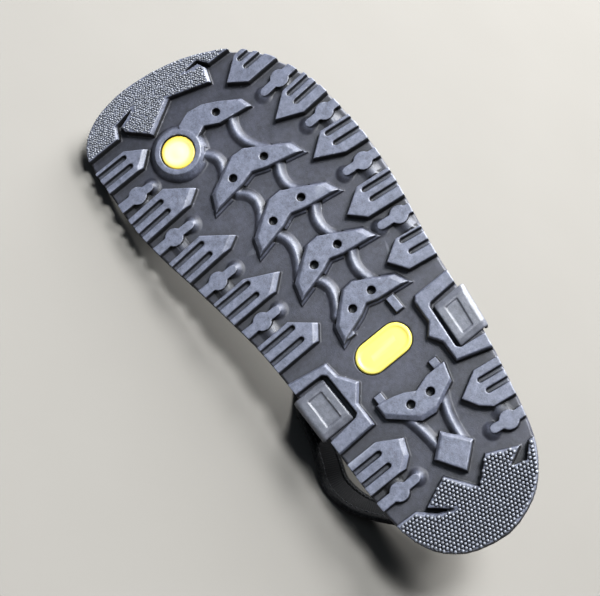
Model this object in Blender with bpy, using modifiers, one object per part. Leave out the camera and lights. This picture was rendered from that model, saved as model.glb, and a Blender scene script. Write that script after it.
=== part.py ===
"""Left running sandal, lying on its inner side.

A lugged rubber outsole, a footbed, a toe plug, a plain tread inlay, two strap anchors, a
webbing upper joined where its straps cross, a strap buckle and a pull tab. The sandal is
drawn in its own axes, in millimetres: x to the toe, y to the outer side, z up from the
plane of the lug faces. The pieces are then laid down together on the inner sole edge and
the straps, which is how the sandal rests.
"""
import math
from collections import namedtuple

import bmesh
import bpy
from mathutils import Matrix, Vector

NAME = "running_sandal"
MM = 0.001
WELD = 0.000002
SHARP_ANGLE = 32.0
CUT_PAST = 2.0

# Heights in the sole, from the plane of the lug faces
BASE_FACE = 4.5
SIDE_FLARE = 6.5
OUTSOLE_TOP = 11.5
SEAT_GAP = 0.3
FOOTBED_EDGE = 13.4
FOOTBED_TOP = 14.5
KEY_FACE = 1.5
RIB_FACE = 2.2
STUB_FACE = 1.6
TOE_CHEVRON_FACE = 0.2
LUG_SINK = 3.0

# How far each level of the sole's side lies inside the outline
BASE_INSET = 0.9
LUG_INSET = 0.3
FOOTBED_INSET = 0.3
FOOTBED_BEVEL = 1.7

# Toe spring, which bends the sole in flat strips so that its layers stay parallel
SPRING_START = 70.0
SPRING_END = 150.0
SPRING_RISE = 6.0
SPRING_REACH = 2.6
SPRING_STRIPS = 8

# Lugs
WALL_DRAFT = 0.3
EDGE_FACET = 0.3
FACET_DEPTH = 1.5
TIP_FACET = 2.4
RIB_FACET = 2.0
RIB_DEPTH = 2.0
LEDGE_WIDTH = 0.8
LEDGE_FACE = 3.2
LEDGE_DROP = 0.3
SLOT_HALF = 1.4
SLOT_FLOOR = 2.4
FILL_INSET = 0.15
PAST_EDGE = 80.0
KEY_DISC = 4.7
KEY_STEM = 2.2
KEY_ROOT = 2.5
MOUND_RADIUS = 1.5
MOUND_FACE = 1.8
MOUND_FACET = 2.2
MOUND_DEPTH = 2.4
MOUND_SIDES = 10
TIE_REACH = 8.0
TIE_HALF = 0.8
TIE_FACE = 2.4
TIE_FACET = 1.6
RIB_WIDTH = 2.6
CHEVRON_HOLE = 2.1
HOLE_FLOOR = 3.6
HOLE_SIDES = 12

# Toe plug and its boss
PLUG_X = 105.3
PLUG_Y = -6.0
PLUG_RADIUS = 8.6
PLUG_SIDES = 32
PLUG_FACE = 0.9
PLUG_THICK = 1.5
BOSS_TOP = 11.6
BOSS_FOOT = 17.6
BOSS_SIDES = 30

# Plain inlay in the waist of the tread
INLAY_X = -35.0
INLAY_Y = 11.0
INLAY_LENGTH = 30.0
INLAY_WIDTH = 16.0
INLAY_FACE = 3.6
INLAY_FLOOR = 5.6
INLAY_CHAMFER = 0.5

# Strap anchors
ANCHOR_FACE = 1.2
ANCHOR_BACK = 4.2
LIP_TOP = 9.6
LIP_CHAMFER = 1.8
PAD_END_RUN = 3.0
PAD_END_DROP = 1.2
PAD_BEVEL = 0.7
PAD_BEVEL_ANGLE = 40.0
POCKET_DEPTH = 0.7
POCKET_RIM = 4.2

# Webbing
STRAP_WIDTH = 16.0
STRAP_THICK = 2.2
TOE_WIDTH = 15.0
TOE_THICK = 2.4
HEEL_WIDTH = 18.0
HEEL_THICK = 3.0
SLIT_ROOM = 0.5
SLIT_START = 1.5

# Buckle on the outer strap, and the tab behind the heel
BUCKLE_LENGTH = 13.0
BUCKLE_WALL = 2.2
BUCKLE_ROOM = 0.8
BUCKLE_BEVEL = 0.9
BEVEL_STEPS = 2
WING_INSET = 1.4
TAB_LENGTH = 9.0
TAB_WIDTH = 11.0
TAB_THICK = 1.2
TAB_GAP = 0.5

# The way down, in the sandal's axes, that the resting face is looked for
LEAN_GUESS = Vector((0.06, -0.80, 0.60))

Section = namedtuple("Section", "x medial lateral")
HEEL_END = (-137.0, 2.0)
TOE_END = (150.0, -9.0)
SECTIONS = [
    Section(-134, -14, 15),
    Section(-129, -23, 24.5),
    Section(-122, -29.8, 31.5),
    Section(-114, -33.6, 37),
    Section(-104, -36, 41.2),
    Section(-92, -36.8, 44.6),
    Section(-80, -36.8, 47.6),
    Section(-68, -36.5, 50.5),
    Section(-55, -36, 53),
    Section(-40, -35.3, 55.5),
    Section(-25, -35, 57.6),
    Section(-10, -35.1, 60),
    Section(5, -35.8, 63),
    Section(20, -37.6, 66.2),
    Section(35, -39.6, 68.6),
    Section(50, -41.8, 70),
    Section(65, -44.3, 70.3),
    Section(80, -46.1, 69.6),
    Section(92, -46.5, 68),
    Section(103, -46.1, 65),
    Section(114, -45.4, 60.3),
    Section(124, -45.2, 53.8),
    Section(132, -43.8, 45.8),
    Section(138.5, -40.2, 35.2),
    Section(143.5, -34.6, 24.6),
    Section(147, -27.5, 13),
    Section(149, -19.5, 2.5),
]

# Pointed lugs: the corners of the head, the inner ends of the two slots, and how far the
# straight sides run toward the toe for each millimetre outward. Widths are from the middle.
Lug = namedtuple("Lug", "tip tail low high slot_in slot_high slot_low run")
LATERAL_LUGS = [
    Lug((117.5, 34.5), None, (110.8, 43), (126.5, 46), 45.5, 123.0, 118.0, 0.03),
    Lug((86.3, 41), None, (80.3, 54), (95.5, 52.5), 53.0, 92.3, 86.7, 0.06),
    Lug((58.5, 43), None, (50.8, 57), (67, 54), 54.5, 63.8, 57.5, -0.13),
    Lug((25.8, 38), None, (18.3, 45), (33.5, 50), 50.5, 30.0, 24.0, -0.13),
    Lug((-4.7, 38), None, (-14, 44), (1.5, 48), 48.5, -1.2, -8.0, -0.17),
    Lug((-77, 24), (-84.3, 28), (-88.8, 33), (-70.3, 36.5), 34.5, -75.6, -81.7, -0.15),
]
MEDIAL_LUGS = [
    Lug((118.2, 18.9), None, (110.9, 27.6), (123.7, 27), 27.2, 120.8, 115.2, 0.0),
    Lug((86.4, 12.2), None, (80.2, 21.8), (95, 23), 26.4, 90.5, 84.4, -0.05),
    Lug((54.8, 11.6), None, (49.9, 20.4), (64.3, 23.5), 23.6, 60.5, 53.8, -0.06),
    Lug((26.2, 6.4), None, (18.9, 15), (33.3, 20), 18.2, 30.2, 23.2, -0.02),
    Lug((-4.9, 7.2), None, (-13, 13.2), (3, 16.5), 14.9, -0.6, -7.7, -0.02),
    Lug((-73, 10), (-80.3, 13), (-85.4, 19.5), (-67.5, 19.5), 20, -72.6, -79.6, 0.0),
]

# Key-shaped lugs: inner end, disc, the place where the bar meets the edge, and the side to
# which a low bar ties the disc to its neighbour, plus one for the toe
Key = namedtuple("Key", "inner disc edge tie")
KEYS = [
    Key((101.5, 43.5), (103.0, 55.7), (103.5, 70), -1),
    Key((74.5, 50.5), (74.6, 62), (74.0, 76), -1),
    Key((43.5, 49), (42.0, 60.5), (40.6, 75), -1),
    Key((11.7, 45), (10.0, 57), (8.3, 70), -1),
    Key((-96.5, 24.5), (-98.0, 34.5), (-99.3, 48), 1),
    Key((101.0, -25.5), (101.5, -35), (101.5, -52), -1),
    Key((72.4, -21.5), (72.0, -33.5), (72.3, -52), -1),
    Key((41.0, -18.8), (41.0, -30), (41.0, -48), -1),
    Key((11.4, -14.8), (11.5, -25.5), (11.5, -44), -1),
    Key((-91.7, -13), (-92.0, -25), (-92.0, -44), 1),
]

# Chevrons: apex, size against the front one, turn in degrees, half the hole spacing
Chevron = namedtuple("Chevron", "x y scale turn hole")
CHEVRONS = [
    Chevron(86.0, 16.6, 1.0, 3.5, 9.2),
    Chevron(57.0, 17.2, 0.95, -1.6, 8.8),
    Chevron(27.2, 17.4, 0.9, -3.0, 7.4),
    Chevron(-1.0, 16.6, 0.8, -6.0, 6.2),
]
# One arm from apex to notch, as steps back from the apex and outward from the middle, with
# the facet of the side that starts there, on the outer arm and on the inner arm
ArmCorner = namedtuple("ArmCorner", "back side outer_facet inner_facet")
ARM = [
    ArmCorner(-0.5, 3.2, 0.4, 1.2),
    ArmCorner(-6.0, 12.0, 1.3, 2.0),
    ArmCorner(-11.5, 20.5, 2.6, 2.0),
    ArmCorner(-18.0, 23.0, 0.5, 0.5),
    ArmCorner(-15.0, 7.0, 0.5, 0.5),
]
ARM_NOTCH = (-12.6, 0.0)
CHEVRON_HOLE_BACK = 10.2
# Corners of the other lugs, with the facet of the side that starts there
Corner = namedtuple("Corner", "x y facet", defaults=(EDGE_FACET,))
TOE_CHEVRON = [
    Corner(115.5, 2), Corner(118.5, 10), Corner(117, 18), Corner(113, 25, 1.4),
    Corner(106.5, 33, 2.0), Corner(101, 34.5), Corner(103.5, 19), Corner(107.5, 12),
    Corner(104, 4), Corner(109.5, 2.5),
]
TOE_CHEVRON_HOLE = (109.0, 21.0)
HEEL_CHEVRON = [
    Corner(-55, -8), Corner(-56, -1), Corner(-58, 5), Corner(-61, 10), Corner(-58.5, 18),
    Corner(-58.5, 28.5), Corner(-66, 26, 1.4), Corner(-72.3, 12, 2.2), Corner(-71.3, 4.5, 2.2),
    Corner(-60, -8, 1.0),
]
HEEL_CHEVRON_HOLES = [(-64.3, 4.2), (-65.3, 15.0)]
DIAMOND = [
    Corner(-84, 6.5, 1.6), Corner(-95, 15, 0.5), Corner(-103.5, 5, 0.5), Corner(-91.5, -2.5, 1.4),
]

# Curved ribs that link the chevrons: start, middle and end
Rib = namedtuple("Rib", "start middle end")
RIBS = [
    Rib((98, 1.5), (88.5, 7), (75.5, -0.5)),
    Rib((104, 26), (92, 22.3), (79, 28.5)),
    Rib((70, 4), (60, 8.5), (47, 0.5)),
    Rib((72, 31), (60, 25), (49.5, 30)),
    Rib((42.5, 4.5), (32, 8.5), (17.5, 1.5)),
    Rib((42, 30), (31, 24.8), (18.5, 29.5)),
    Rib((12.5, 5.5), (3, 9.5), (-9, 3.5)),
    Rib((12, 29), (2, 25.3), (-10, 29)),
    Rib((-64.5, -1.5), (-78, 1), (-91, 1.5)),
    Rib((-67, 20), (-79, 14.7), (-93.5, 12.5)),
]
RIB_STEPS = 6

# Short straight ribs at the waist ends of the chevrons: middle, half length along x
Stub = namedtuple("Stub", "x y half")
STUBS = [Stub(-18, 3, 3.5), Stub(-22, 28.5, 4), Stub(-54, -5.3, 3.2), Stub(-57, 25, 3.2)]
STUB_HALF_WIDTH = 2.0

# Inner borders of the toe and heel caps, from the inner edge of the sole to the outer one
TOE_CAP = [
    Corner(130.8, -60), Corner(131, -26, 1.3), Corner(137, -23), Corner(139.5, -8),
    Corner(134.6, -20), Corner(131.5, -20), Corner(122, -11, 1.5), Corner(132, 6),
    Corner(124.3, 27.5, 1.4), Corner(132.5, 30.5), Corner(135.3, 29.3), Corner(136.3, 19),
    Corner(137.5, 30), Corner(132, 33.8), Corner(131, 60), Corner(170, 60), Corner(170, -60),
]
HEEL_CAP = [
    Corner(-102.5, -55), Corner(-103.8, -26.5, 1.5), Corner(-110.5, -19.5, 1.2),
    Corner(-115.5, -8), Corner(-105.5, -19.5), Corner(-99.5, -5.5, 0.9), Corner(-113.5, 4.5),
    Corner(-103.3, 16, 0.7), Corner(-110, 30), Corner(-114.5, 21), Corner(-117, 29),
    Corner(-110.7, 35.5), Corner(-111, 55), Corner(-150, 55), Corner(-150, -55),
]

# Open frames around the strap anchors
MEDIAL_FRAME = [
    Corner(-20.5, -55, 1.0), Corner(-21, -35, 1.0), Corner(-24.5, -15.5, 1.2),
    Corner(-32.3, -14.8, 1.2), Corner(-40.5, -9, 1.2), Corner(-48, -15.3, 1.2),
    Corner(-60, -15.5, 0.8), Corner(-61, -36, 0.8), Corner(-61, -55), Corner(-55, -55),
    Corner(-54.5, -35), Corner(-53, -19.5), Corner(-51.5, -17.5), Corner(-29, -17.5),
    Corner(-27, -19.5), Corner(-26.5, -36), Corner(-26.5, -55),
]
LATERAL_FRAME = [
    Corner(-26, 70, 0.8), Corner(-26, 38, 0.8), Corner(-28, 36.3, 0.8), Corner(-39.5, 35.5, 0.8),
    Corner(-44.7, 31, 0.8), Corner(-51, 34.6, 0.8), Corner(-61.3, 34, 0.8), Corner(-66.5, 50, 0.8),
    Corner(-71, 65), Corner(-64.5, 65), Corner(-60, 51), Corner(-58.3, 38.8),
    Corner(-56.3, 37.2), Corner(-34.3, 39.7), Corner(-32.6, 41.3), Corner(-32, 55),
    Corner(-32, 70),
]

# Ends of the anchors: place along the sole, inner edge, inside of the lip, outside of the lip
AnchorEnd = namedtuple("AnchorEnd", "x inner lip outer")
MEDIAL_ANCHOR = [AnchorEnd(-28.6, -20.2, -36.2, -38.3), AnchorEnd(-52.2, -20.2, -36.9, -38.6)]
LATERAL_ANCHOR = [AnchorEnd(-34.6, 41.4, 57.3, 59.2), AnchorEnd(-57.6, 39.2, 53.6, 55.6)]

# Slits where the webbing goes down through the sole: middle, turn and webbing size
Slit = namedtuple("Slit", "x y turn width thick")
SLITS = [
    Slit(PLUG_X, PLUG_Y, 0.0, TOE_WIDTH, TOE_THICK),
    Slit(-40.0, -29.5, 0.0, STRAP_WIDTH, STRAP_THICK),
    Slit(-46.5, 47.5, 9.0, STRAP_WIDTH, STRAP_THICK),
]

# Strap routes, with the twist of the webbing in degrees about its own run
Stop = namedtuple("Stop", "x y z twist")
ARCH_ROUTE = [
    Stop(-40, -29.5, 4.9, 0),
    Stop(-40, -29.5, 10, 0),
    Stop(-40, -29.5, 14.8, 0),
    Stop(-40, -31, 18, 0),
    Stop(-39.5, -36.5, 22.5, 0),
    Stop(-37.5, -40.5, 29, 0),
    Stop(-30, -36, 38, 0),
    Stop(-19, -29, 46.5, 0),
    Stop(-6, -20, 54.8, 0),
    Stop(4, -9.5, 62, 0),
    Stop(10, 3, 65.7, 0),
    Stop(7, 19, 64, 0),
    Stop(-5, 33, 56.5, 0),
    Stop(-23, 44, 43.5, -4),
    Stop(-38, 48.8, 30, -8),
    Stop(-45, 48.6, 21, -9),
    Stop(-46.5, 47.5, 14.5, -9),
    Stop(-46.5, 47.5, 9.5, -9),
    Stop(-46.5, 47.5, 4.9, -9),
]
TOE_ROUTE = [
    Stop(PLUG_X, PLUG_Y, 4.9, 90),
    Stop(PLUG_X, PLUG_Y, 10, 90),
    Stop(PLUG_X, PLUG_Y, 15, 90),
    Stop(104, -6, 26, 82),
    Stop(97, -5.5, 36.5, 55),
    Stop(83, -4.5, 46, 24),
    Stop(64, -2.5, 54.5, 6),
    Stop(44, 0, 61.5, 0),
    Stop(25, 2.2, 66, 0),
    Stop(12, 3.6, 67.0, 0),
    Stop(3, 4.2, 66.6, 0),
]
HEEL_ROUTE = [
    Stop(-25, -36, 31, 24),
    Stop(-36, -38.6, 30.5, 28),
    Stop(-46.5, -40.5, 31, 31),
    Stop(-56, -43.6, 31.5, 35),
    Stop(-66, -47.2, 32.2, 38),
    Stop(-77, -46, 33.2, 37),
    Stop(-88, -40.5, 34.5, 29),
    Stop(-102, -29, 37, 17),
    Stop(-112.5, -10, 39.5, 10),
    Stop(-113.5, 12, 41.5, 8),
    Stop(-104, 31, 42, 8),
    Stop(-84, 42.5, 40, 10),
    Stop(-60, 48.5, 35.5, 14),
    Stop(-38, 49.2, 31.5, 18),
    Stop(-27, 47.5, 31.5, 18),
]
ROUTE_STEPS = 3
RUN_STEP = 0.02
# Places of the buckle and the tab, counted in stops of the arch and heel routes
BUCKLE_AT = 12.4
TAB_AT = 8.5
# Side of the buckle's winged lever: along the strap, and up from the sleeve's roof
WING = [(-5.5, -1.0), (5.5, -1.0), (12.0, 3.0), (10.5, 4.4), (-1.0, 2.2)]

COLOURS = {
    "outsole": ((0.060, 0.061, 0.066), 0.55),
    "footbed": ((0.150, 0.156, 0.168), 0.75),
    "toe_plug": ((0.90, 0.76, 0.10), 0.45),
    "tread_inlay": ((0.88, 0.72, 0.07), 0.45),
    "anchor_medial": ((0.085, 0.087, 0.093), 0.5),
    "anchor_lateral": ((0.085, 0.087, 0.093), 0.5),
    "upper": ((0.014, 0.014, 0.016), 0.85),
    "buckle": ((0.010, 0.010, 0.011), 0.4),
    "pull_tab": ((0.62, 0.61, 0.58), 0.7),
}


def clear_scene():
    """Remove what the scene holds and make the two collections."""
    for obj in list(bpy.data.objects):
        bpy.data.objects.remove(obj, do_unlink=True)
    parts = bpy.data.collections.new(NAME)
    cutters = bpy.data.collections.new("cutters")
    for collection in (parts, cutters):
        bpy.context.scene.collection.children.link(collection)
    return parts, cutters


PARTS, CUTTERS = clear_scene()


def piece_material(name):
    """A Principled material with the piece's own colour and roughness."""
    colour, roughness = COLOURS[name]
    material = bpy.data.materials.new(name)
    material.use_nodes = True
    shader = material.node_tree.nodes["Principled BSDF"]
    shader.inputs["Base Color"].default_value = (*colour, 1.0)
    shader.inputs["Roughness"].default_value = roughness
    shader.inputs["Metallic"].default_value = 0.0
    return material


def mesh_object(name, bm, collection):
    """Close off a bmesh as an object, with its faces pointing out."""
    bmesh.ops.recalc_face_normals(bm, faces=bm.faces[:])
    mesh = bpy.data.meshes.new(name)
    bm.to_mesh(mesh)
    bm.free()
    obj = bpy.data.objects.new(name, mesh)
    collection.objects.link(obj)
    if collection is CUTTERS:
        obj.hide_render = True
        obj.display_type = "WIRE"
    else:
        mesh.materials.append(piece_material(name))
    return obj


def turning(points):
    """Plus one for a closed outline that runs counter-clockwise, minus one otherwise."""
    following = points[1:] + points[:1]
    area = sum(a[0] * b[1] - b[0] * a[1] for a, b in zip(points, following))
    return 1 if area > 0 else -1


def spread(points, amounts):
    """Step each side of a closed outline outward, by one amount or one for each side."""
    count = len(points)
    if isinstance(amounts, (int, float)):
        amounts = [amounts] * count
    corners = [Vector(point) for point in points]
    sign = turning(points)
    normals = []
    for a, b in zip(corners, corners[1:] + corners[:1]):
        run = (b - a).normalized()
        normals.append(Vector((run.y, -run.x)) * sign)
    moved = []
    for index, corner in enumerate(corners):
        before, after = normals[index - 1], normals[index]
        step_before, step_after = amounts[index - 1], amounts[index]
        cosine = before.dot(after)
        if cosine > 0.995:
            shift = (before + after) * (step_before + step_after) / 4.0
        else:
            shift = before * (step_before - cosine * step_after)
            shift += after * (step_after - cosine * step_before)
            shift /= 1.0 - cosine * cosine
        limit = 3.0 * max(abs(step_before), abs(step_after))
        if shift.length > limit > 0:
            shift *= limit / shift.length
        moved.append(tuple(corner + shift))
    return moved


def skin(bm, rings):
    """Add a closed body through rings of places in millimetres, from one end to the other."""
    layers = [[bm.verts.new(Vector(place) * MM) for place in ring] for ring in rings]
    for first, second in zip(layers, layers[1:]):
        count = len(first)
        for index in range(count):
            following = (index + 1) % count
            bm.faces.new((first[index], first[following], second[following], second[index]))
    bm.faces.new(layers[0][::-1])
    bm.faces.new(layers[-1])


def loft(bm, rings):
    """Add a closed body through level outlines, each given with its height."""
    skin(bm, [[(x, y, height) for x, y in points] for points, height in rings])


def lug(bm, points, face, facets=EDGE_FACET, depth=FACET_DEPTH, ledge=0.0):
    """Add a tread lug: its face, the facets around it and a wall to its foot in the base.

    A ledge makes a low step around the foot.
    """
    brim = spread(points, facets)
    rings = [(points, face), (brim, face + depth)]
    if ledge:
        wall = spread(brim, WALL_DRAFT)
        brim = spread(wall, ledge)
        rings += [(wall, LEDGE_FACE), (brim, LEDGE_FACE + LEDGE_DROP)]
    loft(bm, rings + [(spread(brim, WALL_DRAFT), BASE_FACE + LUG_SINK)])


def cornered_lug(bm, corners, face):
    """Add a lug from a table of corners and facets."""
    lug(bm, [(row.x, row.y) for row in corners], face, [row.facet for row in corners])


def boolean(target, tool, operation):
    """Cut, join or trim an object by another."""
    modifier = target.modifiers.new(operation.title(), "BOOLEAN")
    modifier.operation = operation
    modifier.solver = "EXACT"
    modifier.object = tool


def settle(obj):
    """Give the object the mesh that its modifiers make."""
    graph = bpy.context.evaluated_depsgraph_get()
    graph.update()
    mesh = bpy.data.meshes.new_from_object(obj.evaluated_get(graph))
    obj.modifiers.clear()
    bm = bmesh.new()
    bm.from_mesh(mesh)
    bmesh.ops.remove_doubles(bm, verts=bm.verts[:], dist=WELD)
    bm.to_mesh(mesh)
    bm.free()
    obj.data = mesh


def between(before, start, end, after, part):
    """Point on a smooth curve from start to end."""
    return 0.5 * (
        2.0 * start
        + (end - before) * part
        + (2.0 * before - 5.0 * start + 4.0 * end - after) * part**2
        + (3.0 * start - before - 3.0 * end + after) * part**3
    )


def outline(inset):
    """Closed outline of the sole through its sections, drawn in by an inset."""
    knots = [Vector(HEEL_END)]
    knots += [Vector((row.x, row.medial)) for row in SECTIONS]
    knots.append(Vector(TOE_END))
    knots += [Vector((row.x, row.lateral)) for row in reversed(SECTIONS)]
    count = len(knots)
    points = []
    for index in range(count):
        around = [knots[(index + offset) % count] for offset in (-1, 0, 1, 2)]
        points += [tuple(between(*around, part)) for part in (0.0, 0.5)]
    return spread(points, -inset)


def round_end(middle, radius, start, stop, steps):
    """Points on an arc, between two angles in degrees."""
    angles = [math.radians(start + (stop - start) * i / steps) for i in range(steps + 1)]
    return [(middle[0] + radius * math.cos(a), middle[1] + radius * math.sin(a)) for a in angles]


def ring(middle, radius, sides):
    """Corners of a regular ring."""
    return round_end(middle, radius, 0, 360 * (sides - 1) / sides, sides - 1)


def pointed_lug(row, side, slotted=True):
    """Corners of a pointed lug, whose slots are open at the edge, and the facets of its sides."""
    head = [row.tip, row.tail, row.low] if row.tail else [row.tip, row.low]

    def at_edge(x, width):
        return (x + row.run * (PAST_EDGE - width), PAST_EDGE)

    points = head + [at_edge(*row.low)]
    for slot in (row.slot_low, row.slot_high) if slotted else ():
        middle = (slot, row.slot_in + SLOT_HALF)
        points.append(at_edge(slot - SLOT_HALF, middle[1]))
        points += round_end(middle, SLOT_HALF, 180, 360, 4)
        points.append(at_edge(slot + SLOT_HALF, middle[1]))
    points += [at_edge(*row.high), row.high]
    tip_facet = TIP_FACET if side < 0 else EDGE_FACET
    facets = [tip_facet] * (len(head) - 1) + [EDGE_FACET] * (len(points) - len(head) + 1)
    return [(x, side * width) for x, width in points], facets


def key_lug(row):
    """Corners of a key-shaped lug: a round-ended stem, a disc and a bar to the edge."""
    inner, disc, edge = Vector(row.inner), Vector(row.disc), Vector(row.edge)
    along = (edge - inner).normalized()
    across = Vector((-along.y, along.x))
    at_disc = (disc - inner).dot(along)
    root = math.degrees(math.asin(KEY_ROOT / KEY_DISC))
    stem = math.degrees(math.asin(KEY_STEM / KEY_DISC))
    local = [((edge - inner).length, KEY_ROOT)]
    local += round_end((at_disc, 0.0), KEY_DISC, root, 180 - stem, 6)
    local += round_end((KEY_STEM, 0.0), KEY_STEM, 90, 270, 4)
    local += round_end((at_disc, 0.0), KEY_DISC, 180 + stem, 360 - root, 6)
    local.append(((edge - inner).length, -KEY_ROOT))
    return [tuple(inner + along * s + across * t) for s, t in local]


def rib(row):
    """Corners of a curved rib of even width."""
    start, middle, end = Vector(row.start), Vector(row.middle), Vector(row.end)
    pull = 2.0 * middle - (start + end) / 2.0
    left, right = [], []
    for index in range(RIB_STEPS + 1):
        part = index / RIB_STEPS
        point = start * (1 - part) ** 2 + pull * 2 * part * (1 - part) + end * part**2
        run = ((pull - start) * (1 - part) + (end - pull) * part).normalized()
        aside = Vector((-run.y, run.x)) * RIB_WIDTH / 2.0
        left.append(tuple(point + aside))
        right.append(tuple(point - aside))
    return left + right[::-1]


def chevron(row):
    """Corners of a chevron, the facets of its sides and the middles of its two holes."""
    outer = [(corner.back, corner.side * row.scale) for corner in ARM]
    inner = [(back, -side) for back, side in reversed(outer)]
    facets = [corner.outer_facet for corner in ARM]
    facets += [corner.inner_facet for corner in reversed(ARM)]
    facets.append(EDGE_FACET)
    turn = Matrix.Rotation(math.radians(row.turn), 2)
    apex = Vector((row.x, row.y))

    def place(point):
        return tuple(apex + turn @ Vector(point))

    holes = [place((-CHEVRON_HOLE_BACK, side * row.hole)) for side in (-1, 1)]
    return [place(point) for point in outer + [ARM_NOTCH] + inner], facets, holes


def cylinder(bm, middle, radius, low, high, segments):
    """Add an upright cylinder."""
    centre = Matrix.Translation(Vector((*middle, (low + high) / 2.0)) * MM)
    bmesh.ops.create_cone(
        bm, cap_ends=True, segments=segments, radius1=radius * MM, radius2=radius * MM,
        depth=(high - low) * MM, matrix=centre,
    )


def stadium(x, y, length, width, room=0.0):
    """Round-ended slot shape that lies across the sole."""
    radius = width / 2.0 + room
    reach = length / 2.0 - width / 2.0
    upper = round_end((x, y + reach), radius, 0, 180, 10)
    lower = round_end((x, y - reach), radius, 180, 360, 10)
    return upper + lower


def slit_corners(row):
    """Corners of a slit with room around its webbing."""
    half = (row.width / 2.0 + SLIT_ROOM, row.thick / 2.0 + SLIT_ROOM)
    turn = Matrix.Rotation(math.radians(row.turn), 2)
    signs = ((-1, -1), (1, -1), (1, 1), (-1, 1))
    middle = Vector((row.x, row.y))
    return [tuple(middle + turn @ Vector((half[0] * a, half[1] * b))) for a, b in signs]


def trimmed(name, bm, inset):
    """Close off a group of lugs and trim it to the sole's outline."""
    group = mesh_object(name, bm, CUTTERS)
    trim = bmesh.new()
    loft(trim, [(outline(inset), -CUT_PAST), (outline(inset), SIDE_FLARE + CUT_PAST)])
    boolean(group, mesh_object(name + "_trim", trim, CUTTERS), "INTERSECT")
    return group


def edge_lugs():
    """Lugs, caps and frames that reach the edge, and the floors of the slots."""
    bm = bmesh.new()
    floors = bmesh.new()
    for rows, side in ((LATERAL_LUGS, 1), (MEDIAL_LUGS, -1)):
        for row in rows:
            points, facets = pointed_lug(row, side)
            lug(bm, points, 0.0, facets)
            points, _ = pointed_lug(row, side, slotted=False)
            lug(floors, spread(points, -FILL_INSET), SLOT_FLOOR)
    for row in KEYS:
        lug(bm, key_lug(row), KEY_FACE)
    for corners in (TOE_CAP, HEEL_CAP, MEDIAL_FRAME, LATERAL_FRAME):
        cornered_lug(bm, corners, 0.0)
    floors = trimmed("slot_floors", floors, LUG_INSET + FILL_INSET)
    return trimmed("edge_lugs", bm, LUG_INSET), floors


def middle_lugs():
    """Chevrons and the heel diamond, and the chevrons' holes."""
    bm = bmesh.new()
    holes = [TOE_CHEVRON_HOLE] + HEEL_CHEVRON_HOLES
    for row in CHEVRONS:
        points, facets, pair = chevron(row)
        lug(bm, points, 0.0, facets, ledge=LEDGE_WIDTH)
        holes += pair
    cornered_lug(bm, TOE_CHEVRON, TOE_CHEVRON_FACE)
    cornered_lug(bm, HEEL_CHEVRON, 0.0)
    cornered_lug(bm, DIAMOND, 0.0)
    group = mesh_object("middle_lugs", bm, CUTTERS)
    bm = bmesh.new()
    for middle in holes:
        cylinder(bm, middle, CHEVRON_HOLE, -CUT_PAST, HOLE_FLOOR, HOLE_SIDES)
    return group, mesh_object("chevron_holes", bm, CUTTERS)


def boss():
    """Conical boss around the toe plug."""
    bm = bmesh.new()
    loft(bm, [
        (ring((PLUG_X, PLUG_Y), BOSS_TOP, BOSS_SIDES), 0.0),
        (ring((PLUG_X, PLUG_Y), BOSS_FOOT, BOSS_SIDES), BASE_FACE + LUG_SINK),
    ])
    return mesh_object("boss", bm, CUTTERS)


def box_corners(x, y, half_length, half_width):
    """Corners of a bar that lies along the sole."""
    signs = ((-1, -1), (1, -1), (1, 1), (-1, 1))
    return [(x + s * half_length, y + t * half_width) for s, t in signs]


def low_ribs():
    """Curved ribs between the chevrons, short ones at the waist, ties and mounds at the keys."""
    bm = bmesh.new()
    for row in RIBS:
        lug(bm, rib(row), RIB_FACE, RIB_FACET, RIB_DEPTH)
    curved = mesh_object("curved_ribs", bm, CUTTERS)
    bm = bmesh.new()
    for row in STUBS:
        lug(bm, box_corners(row.x, row.y, row.half, STUB_HALF_WIDTH), STUB_FACE)
    for row in KEYS:
        middle = row.disc[0] + row.tie * TIE_REACH / 2.0
        points = box_corners(middle, row.disc[1], TIE_REACH / 2.0, TIE_HALF)
        lug(bm, points, TIE_FACE, TIE_FACET)
        inner = Vector(row.inner)
        end = inner + (Vector(row.disc) - inner).normalized() * KEY_STEM
        lug(bm, ring(end, MOUND_RADIUS, MOUND_SIDES), MOUND_FACE, MOUND_FACET, MOUND_DEPTH)
    return curved, mesh_object("short_ribs", bm, CUTTERS)


def sole_openings(low, high):
    """Slits for the webbing, as one cutter between two heights."""
    bm = bmesh.new()
    for row in SLITS:
        loft(bm, [(slit_corners(row), low), (slit_corners(row), high)])
    return mesh_object("strap_slits", bm, CUTTERS)


def bend(obj, cut):
    """Raise the toe. Faces are first cut into strips, so that each strip stays flat."""
    bm = bmesh.new()
    bm.from_mesh(obj.data)
    strip = (SPRING_END - SPRING_START) / SPRING_STRIPS

    def rise(x):
        return SPRING_RISE * (max(0.0, x - SPRING_START) / (SPRING_END - SPRING_START)) ** 2

    if cut:
        for index in range(SPRING_STRIPS):
            place = Vector(((SPRING_START + strip * index) * MM, 0.0, 0.0))
            geometry = bm.verts[:] + bm.edges[:] + bm.faces[:]
            bmesh.ops.bisect_plane(
                bm, geom=geometry, dist=1e-7, plane_co=place, plane_no=(1.0, 0.0, 0.0)
            )
    for vert in bm.verts:
        x = vert.co.x / MM
        knot = SPRING_START + strip * math.floor((x - SPRING_START) / strip)
        share = (x - knot) / strip
        lift = rise(knot) * (1.0 - share) + rise(knot + strip) * share
        vert.co.z += lift * MM
        vert.co.x += lift * SPRING_REACH / SPRING_RISE * MM
    bmesh.ops.triangulate(bm, faces=bm.faces[:])
    bm.to_mesh(obj.data)
    bm.free()


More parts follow.
